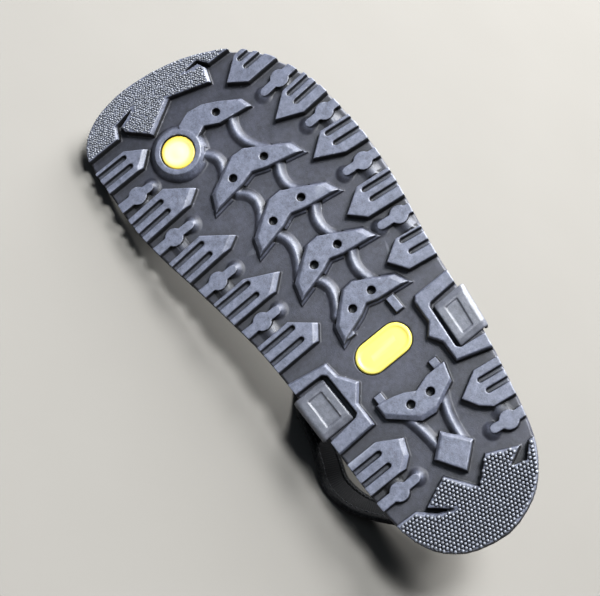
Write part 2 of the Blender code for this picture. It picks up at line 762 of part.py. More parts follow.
def outsole():
    """One moulded rubber outsole with its tread."""
    bm = bmesh.new()
    loft(bm, [
        (outline(BASE_INSET), BASE_FACE),
        (outline(0.0), SIDE_FLARE),
        (outline(0.0), OUTSOLE_TOP),
    ])
    sole = mesh_object("outsole", bm, PARTS)
    chevrons, holes = middle_lugs()
    for group in (*edge_lugs(), chevrons, boss(), *low_ribs()):
        boolean(sole, group, "UNION")
    boolean(sole, holes, "DIFFERENCE")
    bm = bmesh.new()
    room = PLUG_RADIUS + SEAT_GAP
    seat_floor = PLUG_FACE + PLUG_THICK + SEAT_GAP
    cylinder(bm, (PLUG_X, PLUG_Y), room, -CUT_PAST, seat_floor, PLUG_SIDES)
    boolean(sole, mesh_object("plug_seat", bm, CUTTERS), "DIFFERENCE")
    bm = bmesh.new()
    shape = stadium(INLAY_X, INLAY_Y, INLAY_LENGTH, INLAY_WIDTH, SEAT_GAP)
    loft(bm, [(shape, BASE_FACE - CUT_PAST), (shape, INLAY_FLOOR + SEAT_GAP)])
    boolean(sole, mesh_object("inlay_seat", bm, CUTTERS), "DIFFERENCE")
    boolean(sole, sole_openings(SLIT_START, OUTSOLE_TOP + CUT_PAST), "DIFFERENCE")
    settle(sole)
    bend(sole, cut=True)
    return sole


def footbed():
    """Footbed with a bevelled edge, cut by the strap slits."""
    bm = bmesh.new()
    loft(bm, [
        (outline(FOOTBED_INSET), OUTSOLE_TOP + SEAT_GAP),
        (outline(FOOTBED_INSET), FOOTBED_EDGE),
        (outline(FOOTBED_BEVEL), FOOTBED_TOP),
    ])
    bed = mesh_object("footbed", bm, PARTS)
    boolean(bed, sole_openings(OUTSOLE_TOP - CUT_PAST, FOOTBED_TOP + CUT_PAST), "DIFFERENCE")
    settle(bed)
    bend(bed, cut=True)
    return bed


def toe_plug():
    """Disc that closes the toe strap's hole in the boss."""
    bm = bmesh.new()
    cylinder(bm, (PLUG_X, PLUG_Y), PLUG_RADIUS, PLUG_FACE, PLUG_FACE + PLUG_THICK, PLUG_SIDES)
    plug = mesh_object("toe_plug", bm, PARTS)
    bend(plug, cut=False)
    return plug


def tread_inlay():
    """Plain round-ended inlay at the waist."""
    bm = bmesh.new()
    shape = stadium(INLAY_X, INLAY_Y, INLAY_LENGTH, INLAY_WIDTH)
    inner = stadium(INLAY_X, INLAY_Y, INLAY_LENGTH, INLAY_WIDTH, -INLAY_CHAMFER)
    loft(bm, [(inner, INLAY_FACE), (shape, INLAY_FACE + INLAY_CHAMFER), (shape, INLAY_FLOOR)])
    return mesh_object("tread_inlay", bm, PARTS)


def anchor(name, ends):
    """Pad under the sole with sloped ends and a lip that folds up past the edge."""
    front, back = ends
    end_share = PAD_END_RUN / abs(front.x - back.x)
    rings = []
    for share, face in (
        (0.0, ANCHOR_FACE + PAD_END_DROP),
        (end_share, ANCHOR_FACE),
        (1.0 - end_share, ANCHOR_FACE),
        (1.0, ANCHOR_FACE + PAD_END_DROP),
    ):
        row = AnchorEnd(*(a + (b - a) * share for a, b in zip(front, back)))
        chamfer = math.copysign(LIP_CHAMFER, row.outer)
        profile = [
            (row.inner, face), (row.outer - chamfer, face), (row.outer, face + LIP_CHAMFER),
            (row.outer, LIP_TOP), (row.lip, LIP_TOP), (row.lip, ANCHOR_BACK),
            (row.inner, ANCHOR_BACK),
        ]
        rings.append([(row.x, y, z) for y, z in profile])
    bm = bmesh.new()
    skin(bm, rings)
    piece = mesh_object(name, bm, PARTS)
    bevel = piece.modifiers.new("Bevel", "BEVEL")
    bevel.width = PAD_BEVEL * MM
    bevel.segments = BEVEL_STEPS
    bevel.limit_method = "ANGLE"
    bevel.angle_limit = math.radians(PAD_BEVEL_ANGLE)
    pad = [(front.x, front.inner), (front.x, front.lip), (back.x, back.lip), (back.x, back.inner)]
    bm = bmesh.new()
    loft(bm, [
        (spread(pad, -POCKET_RIM), ANCHOR_FACE - CUT_PAST),
        (spread(pad, -POCKET_RIM), ANCHOR_FACE + POCKET_DEPTH),
    ])
    boolean(piece, mesh_object(name + "_pocket", bm, CUTTERS), "DIFFERENCE")
    settle(piece)
    return piece


def frame_at(route, reference, place):
    """Middle, run, across and outward at a place along a strap, counted in stops."""
    rows = [Vector((stop.x, stop.y, stop.z)) for stop in route]
    rows = [2 * rows[0] - rows[1]] + rows + [2 * rows[-1] - rows[-2]]
    twists = [stop.twist for stop in (route[0], *route, route[-1])]
    index = min(int(place), len(route) - 2)
    part = place - index
    near = rows[index:index + 4]
    point = between(*near, part)
    run = between(*near, part + RUN_STEP) - between(*near, part - RUN_STEP)
    run.normalize()
    level = (reference - run * reference.dot(run)).normalized()
    square = run.cross(level)
    angle = math.radians(between(*twists[index:index + 4], part))
    across = level * math.cos(angle) + square * math.sin(angle)
    return point, run, across, across.cross(run)


def ribbon(name, route, reference, width, thick, collection):
    """Flat webbing of a given width and thickness along its route."""
    bm = bmesh.new()
    rings = []
    for step in range((len(route) - 1) * ROUTE_STEPS + 1):
        point, _, across, outward = frame_at(route, reference, step / ROUTE_STEPS)
        left, right = point - across * width / 2.0, point + across * width / 2.0
        depth = outward * thick / 2.0
        rings.append([left - depth, right - depth, right + depth, left + depth])
    skin(bm, rings)
    bm.normal_update()
    bmesh.ops.triangulate(bm, faces=bm.faces[:])
    return mesh_object(name, bm, collection)


ALONG = Vector((1.0, 0.0, 0.0))
ASIDE = Vector((0.0, 1.0, 0.0))
UPWARD = Vector((0.0, 0.0, 1.0))


def upper():
    """Arch strap, toe strap and heel strap, joined where they cross."""
    straps = ribbon("upper", ARCH_ROUTE, ALONG, STRAP_WIDTH, STRAP_THICK, PARTS)
    toe = ribbon("toe_strap", TOE_ROUTE, ASIDE, TOE_WIDTH, TOE_THICK, CUTTERS)
    heel = ribbon("heel_strap", HEEL_ROUTE, UPWARD, HEEL_WIDTH, HEEL_THICK, CUTTERS)
    boolean(straps, toe, "UNION")
    boolean(straps, heel, "UNION")
    settle(straps)
    bend(straps, cut=False)
    return straps


def strap_place(route, reference, place):
    """Matrix on a strap: run, across and outward as its axes."""
    point, run, across, outward = frame_at(route, reference, place)
    axes = Matrix((run, across, outward)).transposed().to_4x4()
    return Matrix.Translation(point * MM) @ axes


def block(name, size, place, collection):
    """Box of a size in millimetres, centred on a place."""
    bm = bmesh.new()
    scale = Matrix.Diagonal((size[0] * MM, size[1] * MM, size[2] * MM, 1.0))
    bmesh.ops.create_cube(bm, size=1.0, matrix=place @ scale)
    return mesh_object(name, bm, collection)


def buckle():
    """Sleeve on the outer strap with a winged lever over it."""
    place = strap_place(ARCH_ROUTE, ALONG, BUCKLE_AT)
    tunnel = (STRAP_WIDTH + 2 * BUCKLE_ROOM, STRAP_THICK + 2 * BUCKLE_ROOM)
    body = (BUCKLE_LENGTH, tunnel[0] + 2 * BUCKLE_WALL, tunnel[1] + 2 * BUCKLE_WALL)
    piece = block("buckle", body, place, PARTS)
    bevel = piece.modifiers.new("Bevel", "BEVEL")
    bevel.width = BUCKLE_BEVEL * MM
    bevel.segments = BEVEL_STEPS
    bm = bmesh.new()
    roof = body[2] / 2.0
    half = body[1] / 2.0 - WING_INSET
    skin(bm, [[(along, across, roof + up) for along, up in WING] for across in (-half, half)])
    bm.transform(place)
    boolean(piece, mesh_object("buckle_wing", bm, CUTTERS), "UNION")
    hollow = block("buckle_tunnel", (3 * BUCKLE_LENGTH, *tunnel), place, CUTTERS)
    boolean(piece, hollow, "DIFFERENCE")
    settle(piece)
    return piece


def pull_tab():
    """Small flat tab on the outside of the heel strap."""
    place = strap_place(HEEL_ROUTE, UPWARD, TAB_AT)
    away = (HEEL_THICK + TAB_THICK) / 2.0 + TAB_GAP
    place = place @ Matrix.Translation((0.0, 0.0, away * MM))
    return block("pull_tab", (TAB_LENGTH, TAB_WIDTH, TAB_THICK), place, PARTS)


def solid_centre(parts):
    """Middle of all the material, by volume."""
    total = 0.0
    moment = Vector((0.0, 0.0, 0.0))
    for part in parts:
        mesh = part.data
        mesh.calc_loop_triangles()
        for triangle in mesh.loop_triangles:
            a, b, c = (mesh.vertices[index].co for index in triangle.vertices)
            volume = a.dot(b.cross(c)) / 6.0
            total += volume
            moment += (a + b + c) * volume / 4.0
    return moment / total


def resting_face(parts):
    """Outward normal of the hull face that the sandal lies on, near the expected lean."""
    hull = bmesh.new()
    for part in parts:
        for vert in part.data.vertices:
            hull.verts.new(vert.co)
    bmesh.ops.convex_hull(hull, input=hull.verts[:])
    bmesh.ops.triangulate(hull, faces=hull.faces[:])
    centre = solid_centre(parts)
    best = None
    for face in hull.faces:
        a, b, c = (vert.co for vert in face.verts)
        normal = (b - a).cross(c - a).normalized()
        if normal.dot(a - centre) < 0:
            normal = -normal
        foot = centre + normal * normal.dot(a - centre)
        turns = [(q - p).cross(foot - p).dot(normal) for p, q in ((a, b), (b, c), (c, a))]
        inside = min(turns) >= 0 or max(turns) <= 0
        lean = normal.dot(LEAN_GUESS.normalized())
        if inside and (best is None or lean > best[0]):
            best = (lean, normal.copy())
    hull.free()
    return best[1]


def lay_down(parts):
    """Turn the pieces together onto their resting face, with the toe toward +X."""
    up = -resting_face(parts)
    toe = (ALONG - up * up.dot(ALONG)).normalized()
    turn = Matrix((toe, up.cross(toe), up)).to_4x4()
    corners = [turn @ vert.co for part in parts for vert in part.data.vertices]
    low = Vector([min(corner[axis] for corner in corners) for axis in range(3)])
    high = Vector([max(corner[axis] for corner in corners) for axis in range(3)])
    shift = Vector((-(low.x + high.x) / 2.0, -(low.y + high.y) / 2.0, -low.z))
    group = bpy.data.objects.new("sandal_axes", None)
    PARTS.objects.link(group)
    group.matrix_world = Matrix.Translation(shift) @ turn
    for part in parts:
        part.parent = group


def shade(part):
    """Shade round stretches smooth and keep the edges sharp."""
    part.data.shade_smooth()
    part.data.set_sharp_from_angle(angle=math.radians(SHARP_ANGLE))


def build():
    """Make every piece, then lay the sandal down."""
    parts = [
        outsole(),
        footbed(),
        toe_plug(),
        tread_inlay(),
        anchor("anchor_medial", MEDIAL_ANCHOR),
        anchor("anchor_lateral", LATERAL_ANCHOR),
        upper(),
        buckle(),
        pull_tab(),
    ]
    for part in parts:
        shade(part)
    lay_down(parts)


build()
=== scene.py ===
"""Looks of the left running sandal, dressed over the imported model."""
import math
import random
from collections import namedtuple

import bmesh
import bpy
import numpy as np
from mathutils import Matrix, Vector
from mathutils.bvhtree import BVHTree


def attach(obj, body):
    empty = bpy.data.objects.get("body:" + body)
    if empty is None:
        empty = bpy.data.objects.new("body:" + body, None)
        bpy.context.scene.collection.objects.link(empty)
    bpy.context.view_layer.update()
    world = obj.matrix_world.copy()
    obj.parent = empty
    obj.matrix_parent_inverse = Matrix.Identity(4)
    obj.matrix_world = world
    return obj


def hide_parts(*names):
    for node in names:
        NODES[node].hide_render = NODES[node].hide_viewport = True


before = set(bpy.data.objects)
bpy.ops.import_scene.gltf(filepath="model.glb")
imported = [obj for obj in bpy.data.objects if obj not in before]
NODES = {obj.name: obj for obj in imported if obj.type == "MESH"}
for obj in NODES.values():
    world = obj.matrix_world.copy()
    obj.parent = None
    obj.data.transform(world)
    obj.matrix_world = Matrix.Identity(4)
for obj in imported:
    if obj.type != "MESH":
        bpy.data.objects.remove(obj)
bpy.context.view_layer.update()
MM = 0.001
SAME_PLACE = 0.0001

# The sandal's own axes (x to the toe, y to the outer side, z up from the lug faces) as they lie
SANDAL = Matrix((
    (0.9971, 0.05591, -0.0516, -0.00697),
    (0.0, -0.67822, -0.73486, 0.02043),
    (-0.07608, 0.73273, -0.67625, 0.05362),
    (0.0, 0.0, 0.0, 1.0),
))
INTO_SANDAL = SANDAL.inverted()

# Camera in the sandal's axes, in millimetres
CAMERA_PLACE = Vector((-163.2, -4.5, -640.2))
CAMERA_RIGHT = Vector((-0.6086, 0.777, 0.163))
CAMERA_DOWN = Vector((-0.7506, -0.630, 0.201))
CAMERA_FORWARD = Vector((0.2588, 0.0, 0.966))
FOCAL_PIXELS = 1400.0
IMAGE_WIDTH = 600.0
SENSOR = 36.0
CLIP_START = 0.01

# Studio: what the lights aim at, the sky's strength by its height, and the floor from near to far
LIGHT_TARGET = Vector((0.0, 0.0, 0.05))
SKY_COLOUR = (0.95, 0.97, 1.0, 1.0)
SKY_FADE = (0.0, 0.3, 0.45, 0.07)
FLOOR_HALF = 4.0
FLOOR_NEAR = ((0.127, 0.121, 0.111), (0.134, 0.128, 0.118))
FLOOR_FAR = (0.8, 0.79, 0.77)
FLOOR_FADE = (1.0, 3.6)

# Soft moulded edges: voxel and smoothing steps in which a CAD piece is redrawn, and its triangles
Soften = namedtuple("Soften", "voxel smooth triangles")
TREAD = Soften(0.34, 3, 190000)
FOOTBED = Soften(0.8, 3, 40000)
PAD = Soften(0.3, 3, 24000)
SHELL = Soften(0.3, 4, 24000)

# Looks: sockets of a range, depths where the lug faces, lighter from wear and painted light, fade, dust,
# painted shade in creases, sheen of yarn, painted shade in gaps
SPAN_SOCKETS = ("From Min", "From Max", "To Min", "To Max")
FACE_FADE = (2.2, 4.2)
DUST = (0.24, 0.25, 0.27)
CREASE_SHADE = (0.012, 0.012, 0.013)
SHEEN = 0.02
SHEEN_ROUGHNESS = 0.45
GAP_REACH = 0.011
GAP_SAMPLES = 6

# Grain of the materials: scale, detail and roughness of a noise
PATCHES = (38.0, 4.0, 0.6)
MOULD_GRAIN = (2400.0, 2.0, 0.6)
SPECKS = (850.0, 3.0, 0.7)
MOTTLE = (1500.0, 4.0, 0.7)
SCUFFS = (330.0, 6.0, 0.75)
DULL_PATCHES = (160.0, 4.0, 0.65)
FIBRES = (2900.0, 2.0, 0.6)
TUFTS = (1500.0, 3.0, 0.6)
TONE_DRIFT = (120.0, 3.0, 0.55)
HANDLING = (420.0, 4.0, 0.7)
PLASTIC_GRAIN = (2600.0, 2.0, 0.5)
FLOOR_DRIFT = (14.0, 3.0, 0.5)

# Toe spring of the sole and the straps
SPRING_START = 70.0
SPRING_RUN = 80.0
SPRING_RISE = 6.0
SPRING_REACH = 2.6

# Borders of the rough caps of the tread
TOE_CAP = [
    (130.8, -60), (131, -26), (137, -23), (139.5, -8), (134.6, -20), (131.5, -20), (122, -11),
    (132, 6), (124.3, 27.5), (132.5, 30.5), (135.3, 29.3), (136.3, 19), (137.5, 30), (132, 33.8),
    (131, 60), (170, 60), (170, -60),
]
HEEL_CAP = [
    (-102.5, -55), (-103.8, -26.5), (-110.5, -19.5), (-115.5, -8), (-105.5, -19.5), (-99.5, -5.5),
    (-113.5, 4.5), (-103.3, 16), (-110, 30), (-114.5, 21), (-117, 29), (-110.7, 35.5), (-111, 55),
    (-150, 55), (-150, -55),
]

# Texture of the caps: rows a share of the pitch apart, studs and pebbles as rings of radius and height
ROW_STEP = 0.866
HEEL_CAP_START = -137.0
HEEL_CAP_REACH = 45.0
STUD_PITCH = 1.92
STUD_DRIFT = 0.11
STUD_COLUMNS = range(-22, 23)
STUD_RINGS = [(1.09, 0.02), (0.9, 0.06), (0.83, 0.48), (0.6, 0.8), (0.26, 0.94)]
TOE_CAP_START = 119.0
TOE_CAP_REACH = 36.0
TOE_CAP_SHIFT = 0.4 / 30.0
PEBBLE_PITCH = 1.3
PEBBLE_DRIFT = 0.3
PEBBLE_COLUMNS = range(-45, 60)
PEBBLE_FOOT = (0.78, 0.02)

# Texture of the footbed: ribs before the split and dots behind it
TEXTURE_SPLIT = -6.0
TEXTURE_ENDS = (-136.0, 152.0)
BED_RIB_PITCH = 1.5
BED_RIB_TAPER = 0.7
BED_RIB_SIDES = range(-52, 76)
BED_RIB_PROFILE = [(-0.46, -0.06), (-0.24, 0.2), (0.24, 0.2), (0.46, -0.06)]
BED_RIB_DROPS = (0.25, 0.0, 0.0, 0.25)
DOT_PITCH = 2.5
DOT_COLUMNS = range(-22, 30)
DOT_RINGS = [(0.85, -0.06), (0.6, 0.2)]

# Where a surface counts as level: how squarely it faces the ray, and how far it may step
RAY_START = 60.0
LEVEL_FACING = 0.97
LEVEL_STEP = 0.12

# Soft forms of the tread: ends of the key lugs (end, disc), curved ribs (start, middle, end), boss
BASE_FACE = 4.5
BASE_SLACK = 0.6
MOUND_SHIFT = 1.2
MOUND_REACH = 5.2
MOUND_RISE = 3.0
TIE_LENGTH = 7.8
TIE_REACH = 5.6
TIE_RISE = 1.75
TIE_TOP = 1.8
RIB_REACH = 3.7
RIB_RISE = 2.45
RIB_TOP = 2.0
RIB_ROUND = 0.8
RIB_POINTS = 25
BOSS_EDGE = (11.3, 16.0)
KEYS = [
    ((101.5, 43.5), (103.0, 55.7)), ((74.5, 50.5), (74.6, 62.0)), ((43.5, 49.0), (42.0, 60.5)),
    ((11.7, 45.0), (10.0, 57.0)), ((-96.5, 24.5), (-98.0, 34.5)), ((101.0, -25.5), (101.5, -35.0)),
    ((72.4, -21.5), (72.0, -33.5)), ((41.0, -18.8), (41.0, -30.0)), ((11.4, -14.8), (11.5, -25.5)),
    ((-91.7, -13.0), (-92.0, -25.0)),
]
RIBS = [
    ((98, 1.5), (88.5, 7), (75.5, -0.5)), ((104, 26), (92, 22.3), (79, 28.5)),
    ((70, 4), (60, 8.5), (47, 0.5)), ((72, 31), (60, 25), (49.5, 30)),
    ((42.5, 4.5), (32, 8.5), (17.5, 1.5)), ((42, 30), (31, 24.8), (18.5, 29.5)),
    ((12.5, 5.5), (3, 9.5), (-9, 3.5)), ((12, 29), (2, 25.3), (-10, 29)),
    ((-64.5, -1.5), (-78, 1), (-91, 1.5)), ((-67, 20), (-79, 14.7), (-93.5, 12.5)),
]

# Toe plug and inlay
PLUG = Vector((105.3, -6.0))
PLUG_FACE = 0.9
PLUG_THICK = 1.5
INLAY = Vector((-35.0, 11.0))
INLAY_REACH = 7.0
INLAY_RADIUS = 8.0
INLAY_FACE = 3.6
INLAY_FLOOR = 5.6

# Strap routes with the webbing's twist in degrees about its own run, and its width and thickness
Stop = namedtuple("Stop", "x y z twist")
ARCH_ROUTE = [
    Stop(-40, -29.5, 4.9, 0), Stop(-40, -29.5, 10, 0), Stop(-40, -29.5, 14.8, 0),
    Stop(-40, -31, 18, 0), Stop(-39.5, -36.5, 22.5, 0), Stop(-37.5, -40.5, 29, 0),
    Stop(-30, -36, 38, 0), Stop(-19, -29, 46.5, 0), Stop(-6, -20, 54.8, 0),
    Stop(4, -9.5, 62, 0), Stop(10, 3, 65.7, 0), Stop(7, 19, 64, 0), Stop(-5, 33, 56.5, 0),
    Stop(-23, 44, 43.5, -4), Stop(-38, 48.8, 30, -8), Stop(-45, 48.6, 21, -9),
    Stop(-46.5, 47.5, 14.5, -9), Stop(-46.5, 47.5, 9.5, -9), Stop(-46.5, 47.5, 4.9, -9),
]
TOE_ROUTE = [
    Stop(105.3, -6, 4.9, 90), Stop(105.3, -6, 10, 90), Stop(105.3, -6, 15, 90), Stop(104, -6, 26, 82),
    Stop(97, -5.5, 36.5, 55), Stop(83, -4.5, 46, 24), Stop(64, -2.5, 54.5, 6), Stop(44, 0, 61.5, 0),
    Stop(25, 2.2, 66, 0), Stop(12, 3.6, 67.0, 0), Stop(3, 4.2, 66.6, 0),
]
HEEL_ROUTE = [
    Stop(-26, -34.9, 31, 24), Stop(-36, -37.5, 30.5, 28), Stop(-46.5, -40.2, 31, 31),
    Stop(-56, -43.6, 31.5, 35), Stop(-66, -47.2, 32.2, 38), Stop(-77, -46, 33.2, 37),
    Stop(-88, -40.5, 34.5, 29), Stop(-102, -29, 37, 17), Stop(-112.5, -10, 39.5, 10),
    Stop(-113.5, 12, 41.5, 8), Stop(-104, 31, 42, 8), Stop(-84, 42.5, 40, 10),
    Stop(-60, 48.7, 35.5, 14), Stop(-38, 50.8, 31.5, 18), Stop(-28, 49.4, 31.5, 18),
]
ALONG = Vector((1.0, 0.0, 0.0))
ASIDE = Vector((0.0, 1.0, 0.0))
UPWARD = Vector((0.0, 0.0, 1.0))
Strap = namedtuple("Strap", "route reference width thick")
ARCH = Strap(ARCH_ROUTE, ALONG, 15.7, 1.75)
TOE = Strap(TOE_ROUTE, ASIDE, 14.7, 1.95)
HEEL = Strap(HEEL_ROUTE, UPWARD, 16.6, 2.1)
HEEL_ENDS = (4.5, 3.5)
ROUTE_STEPS = 40

# Weave and edge tape of the webbing
WEAVE_PITCH = 1.05
WEAVE_DEPTH = 0.17
WEAVE_STEP = 0.26
WEAVE_BAY = 1.15
WEAVE_COLUMNS = 13
BINDING_SPAN = 17.4
BINDING_WIDTH = 3.4
BINDING_THICK = 0.42

# Stitches: place along the thread, its radius and its lift, as shares
STITCH = [(-0.5, 0.55, -0.7), (-0.3, 1.0, 0.25), (0.0, 1.05, 0.5), (0.3, 1.0, 0.25), (0.5, 0.55, -0.7)]
STITCH_PITCH = 2.5
STITCH_LONG = 1.7
STITCH_RADIUS = 0.24
STITCH_SIDES = 6

# Long seams: what they leave free at both ends, place across the webbing and height over its middle
Seam = namedtuple("Seam", "ends across height")
HEEL_SEAM = Seam((5.5, 4.5), 6.2, 1.5)
ARCH_SEAM = Seam((36.0, 34.0), 6.6, 1.0)
TOE_SEAM = Seam((30.0, 1.0), 6.1, 1.1)

# Cross seams: places from the ends of the webbing, half their reach and height over its middle
HEEL_CROSS = Seam((2.5, 14.5), 4.6, 1.25)
TOE_CROSS = Seam((3.0, 13.0), 5.8, 1.15)

# Buckle and tab: their places on the routes, the lever with its grip, and the weave of the tab
BUCKLE_AT = 12.4
LEVER_ROOT = 6.45
LEVER_SLOPE = 0.19
LEVER_HALF = 8.2
GRIP_COUNT = 5
GRIP_START = 1.6
GRIP_PITCH = 1.8
GRIP_RADIUS = 0.5
TAB_AT = 8.5
TAB_FILL = 0.97
TAB_WEAVE = 0.09
TAB_BOW = 0.12
TAB_THREADS = (28, 34)
TAB_STITCHES = 4
TAB_STITCH_LONG = 1.5
TAB_STITCH_RADIUS = 0.2


def add_camera():
    """Camera at the photograph's angle to the sandal."""
    camera = bpy.data.cameras.new("camera")
    camera.sensor_width = SENSOR
    camera.lens = SENSOR * FOCAL_PIXELS / IMAGE_WIDTH
    camera.clip_start = CLIP_START
    obj = bpy.data.objects.new("camera", camera)
    bpy.context.scene.collection.objects.link(obj)
    axes = Matrix((CAMERA_RIGHT, -CAMERA_DOWN, -CAMERA_FORWARD)).transposed().to_4x4()
    obj.matrix_world = SANDAL @ Matrix.Translation(CAMERA_PLACE * MM) @ axes
    bpy.context.scene.camera = obj


def add_light(name, place, size, power, colour):
    """Soft area light aimed at the sandal."""
    light = bpy.data.lights.new(name, "AREA")
    light.shape = "RECTANGLE"
    light.size, light.size_y = size
    light.energy = power
    light.color = colour
    obj = bpy.data.objects.new(name, light)
    bpy.context.scene.collection.objects.link(obj)
    obj.location = place
    obj.rotation_euler = (LIGHT_TARGET - Vector(place)).to_track_quat("-Z", "Y").to_euler()


class Nodes:
    """Small helper that strings shader nodes together."""

    def __init__(self, name, colour, roughness, specular=0.5):
        self.material = bpy.data.materials.new(name)
        self.material.use_nodes = True
        self.tree = self.material.node_tree
        self.shader = self.tree.nodes["Principled BSDF"]
        self.shader.inputs["Base Color"].default_value = (*colour, 1.0)
        self.shader.inputs["Roughness"].default_value = roughness
        self.shader.inputs["Specular IOR Level"].default_value = specular
        self.place = self.add("ShaderNodeTexCoord").outputs["Object"]

    def add(self, kind, **settings):
        """New node with its settings."""
        node = self.tree.nodes.new(kind)
        for key, value in settings.items():
            setattr(node, key, value)
        return node

    def link(self, out, into):
        """Wire from one socket to another."""
        self.tree.links.new(out, into)

    def noise(self, scale, detail, roughness):
        """Noise in the part's own metres."""
        node = self.add("ShaderNodeTexNoise")
        node.inputs["Scale"].default_value = scale
        node.inputs["Detail"].default_value = detail
        node.inputs["Roughness"].default_value = roughness
        self.link(self.place, node.inputs["Vector"])
        return node.outputs["Fac"]

    def span(self, value, low, high, start=0.0, stop=1.0):
        """Value mapped from start and stop to low and high, and held beyond them."""
        node = self.add("ShaderNodeMapRange")
        for key, number in zip(SPAN_SOCKETS, (start, stop, low, high)):
            node.inputs[key].default_value = number
        self.link(value, node.inputs["Value"])
        return node.outputs["Result"]

    def math(self, operation, a, b):
        """Result of an operation on two sockets or numbers."""
        node = self.add("ShaderNodeMath", operation=operation)
        for socket, value in zip(node.inputs, (a, b)):
            if isinstance(value, (int, float)):
                socket.default_value = value
            else:
                self.link(value, socket)
        return node.outputs["Value"]

    def mix(self, share, a, b, blend="MIX"):
        """Colour between two colours."""
        node = self.add("ShaderNodeMix", data_type="RGBA", blend_type=blend)
        if isinstance(share, (int, float)):
            node.inputs["Factor"].default_value = share
        else:
            self.link(share, node.inputs["Factor"])
        for key, value in (("A", a), ("B", b)):
            socket = [s for s in node.inputs if s.name == key and s.type == "RGBA"][0]
            if isinstance(value, tuple):
                socket.default_value = (*value, 1.0)
            else:
                self.link(value, socket)
        return [s for s in node.outputs if s.type == "RGBA"][0]

    def bump(self, height, distance, strength, under=None):
        """Normal of a fine relief, over another relief if there is one."""
        node = self.add("ShaderNodeBump")
        node.inputs["Distance"].default_value = distance
        node.inputs["Strength"].default_value = strength
        self.link(height, node.inputs["Height"])
        if under is not None:
            self.link(under, node.inputs["Normal"])
        return node.outputs["Normal"]

    def colour(self, out):
        """Send a socket to the base colour."""
        self.link(out, self.shader.inputs["Base Color"])

    def roughness(self, out):
        """Send a socket to the roughness."""
        self.link(out, self.shader.inputs["Roughness"])

    def normal(self, out):
        """Send a socket to the normal."""
        self.link(out, self.shader.inputs["Normal"])


def lug_height(kit):
    """Height over the lug faces in millimetres, with the toe spring taken out."""
    spots = []
    for axis in (SANDAL.col[0], SANDAL.col[2]):
        node = kit.add("ShaderNodeVectorMath", operation="DOT_PRODUCT")
        kit.link(kit.place, node.inputs[0])
        node.inputs[1].default_value = axis[:3]
        shift = axis.xyz.dot(SANDAL.col[3].xyz)
        spots.append(kit.span(node.outputs["Value"], -1.0 / MM, 1.0 / MM, shift - 1.0, shift + 1.0))
    reach = kit.span(spots[0], 0.0, 1.0, SPRING_START, SPRING_START + SPRING_RUN)
    rise = kit.math("MULTIPLY", kit.math("MULTIPLY", reach, reach), SPRING_RISE)
    return kit.math("SUBTRACT", spots[1], rise)


def wall_share(kit):
    """One on walls that stand upright from the sole, nought on faces and bevels."""
    node = kit.add("ShaderNodeVectorMath", operation="DOT_PRODUCT")
    kit.link(kit.add("ShaderNodeNewGeometry").outputs["True Normal"], node.inputs[0])
    node.inputs[1].default_value = SANDAL.col[2][:3]
    return kit.span(kit.math("ABSOLUTE", node.outputs["Value"], 0.0), 1.0, 0.0, 0.12, 0.42)


def rubber(name, dark, light, gloss, specular, rubbed_and_glint, scuff, faces=None, walls=None, fade=FACE_FADE):
    """Moulded rubber: fine grain, patchy gloss, pale dust, edges lighter from wear and painted
    highlight, lug faces lighter from wear and painted light, painted shade on upright sides, in creases
    and in gaps around the lugs, rougher upright sides.
    """
    kit = Nodes(name, light, gloss[1], specular)
    patches = kit.noise(*PATCHES)
    fine = kit.noise(*MOULD_GRAIN)
    specks = kit.noise(*SPECKS)
    colour = kit.mix(patches, dark, light)
    # Lug faces lighter than the base, partly from wear and partly as painted light, which leaves the
    # base between the lugs in painted shade.
    if faces:
        height = lug_height(kit)
        colour = kit.mix(kit.span(height, 1.0, 0.0, *fade), colour, faces)
    # Painted shade: the colour is darkened on sides that stand upright from the sole, whichever way they
    # face.
    steep = wall_share(kit)
    colour = kit.mix(kit.math("MULTIPLY", steep, 0.85), colour, walls or tuple(0.35 * c for c in dark))
    mottle = kit.noise(*MOTTLE)
    colour = kit.mix(kit.span(mottle, 0.0, 0.5, 0.52, 0.3), colour, dark)
    scuffs = kit.span(kit.noise(*SCUFFS), 1.0 - scuff, 1.0 + scuff, 0.34, 0.66)
    colour = kit.mix(1.0, colour, scuffs, "MULTIPLY")
    dust = kit.span(specks, 0.0, 0.25, 0.62, 0.85)
    colour = kit.mix(dust, colour, DUST)
    # Convex edges in a lighter colour: partly wear, partly painted highlight.
    edges = kit.add("ShaderNodeNewGeometry").outputs["Pointiness"]
    wear_and_glint = kit.span(edges, 0.0, 0.45, 0.52, 0.62)
    # Painted shade in creases, where the surface folds inward.
    colour = kit.mix(kit.span(edges, 0.75, 0.0, 0.4, 0.49), colour, CREASE_SHADE)
    colour = kit.mix(wear_and_glint, colour, rubbed_and_glint)
    if faces:
        # Painted shade: the colour is darkened where the tread's own forms hem the rubber in, between
        # the lugs.
        gaps = kit.add("ShaderNodeAmbientOcclusion", samples=GAP_SAMPLES, only_local=True)
        gaps.inputs["Distance"].default_value = GAP_REACH
        colour = kit.mix(1.0, colour, kit.span(gaps.outputs["AO"], 0.08, 1.0, 0.42, 0.92), "MULTIPLY")
    kit.colour(colour)
    patchy = kit.span(kit.noise(*DULL_PATCHES), gloss[0], gloss[1], 0.3, 0.7)
    dull = kit.math("MAXIMUM", steep, kit.span(edges, 1.0, 0.0, 0.42, 0.485))
    if faces:
        dull = kit.math("MAXIMUM", dull, kit.span(height, 0.0, 0.3, *fade))
    kit.roughness(kit.math("ADD", patchy, kit.math("MULTIPLY", dull, 0.4)))
    kit.normal(kit.bump(fine, 0.00007, 0.8, kit.bump(mottle, 0.00014, 0.8)))
    return kit.material


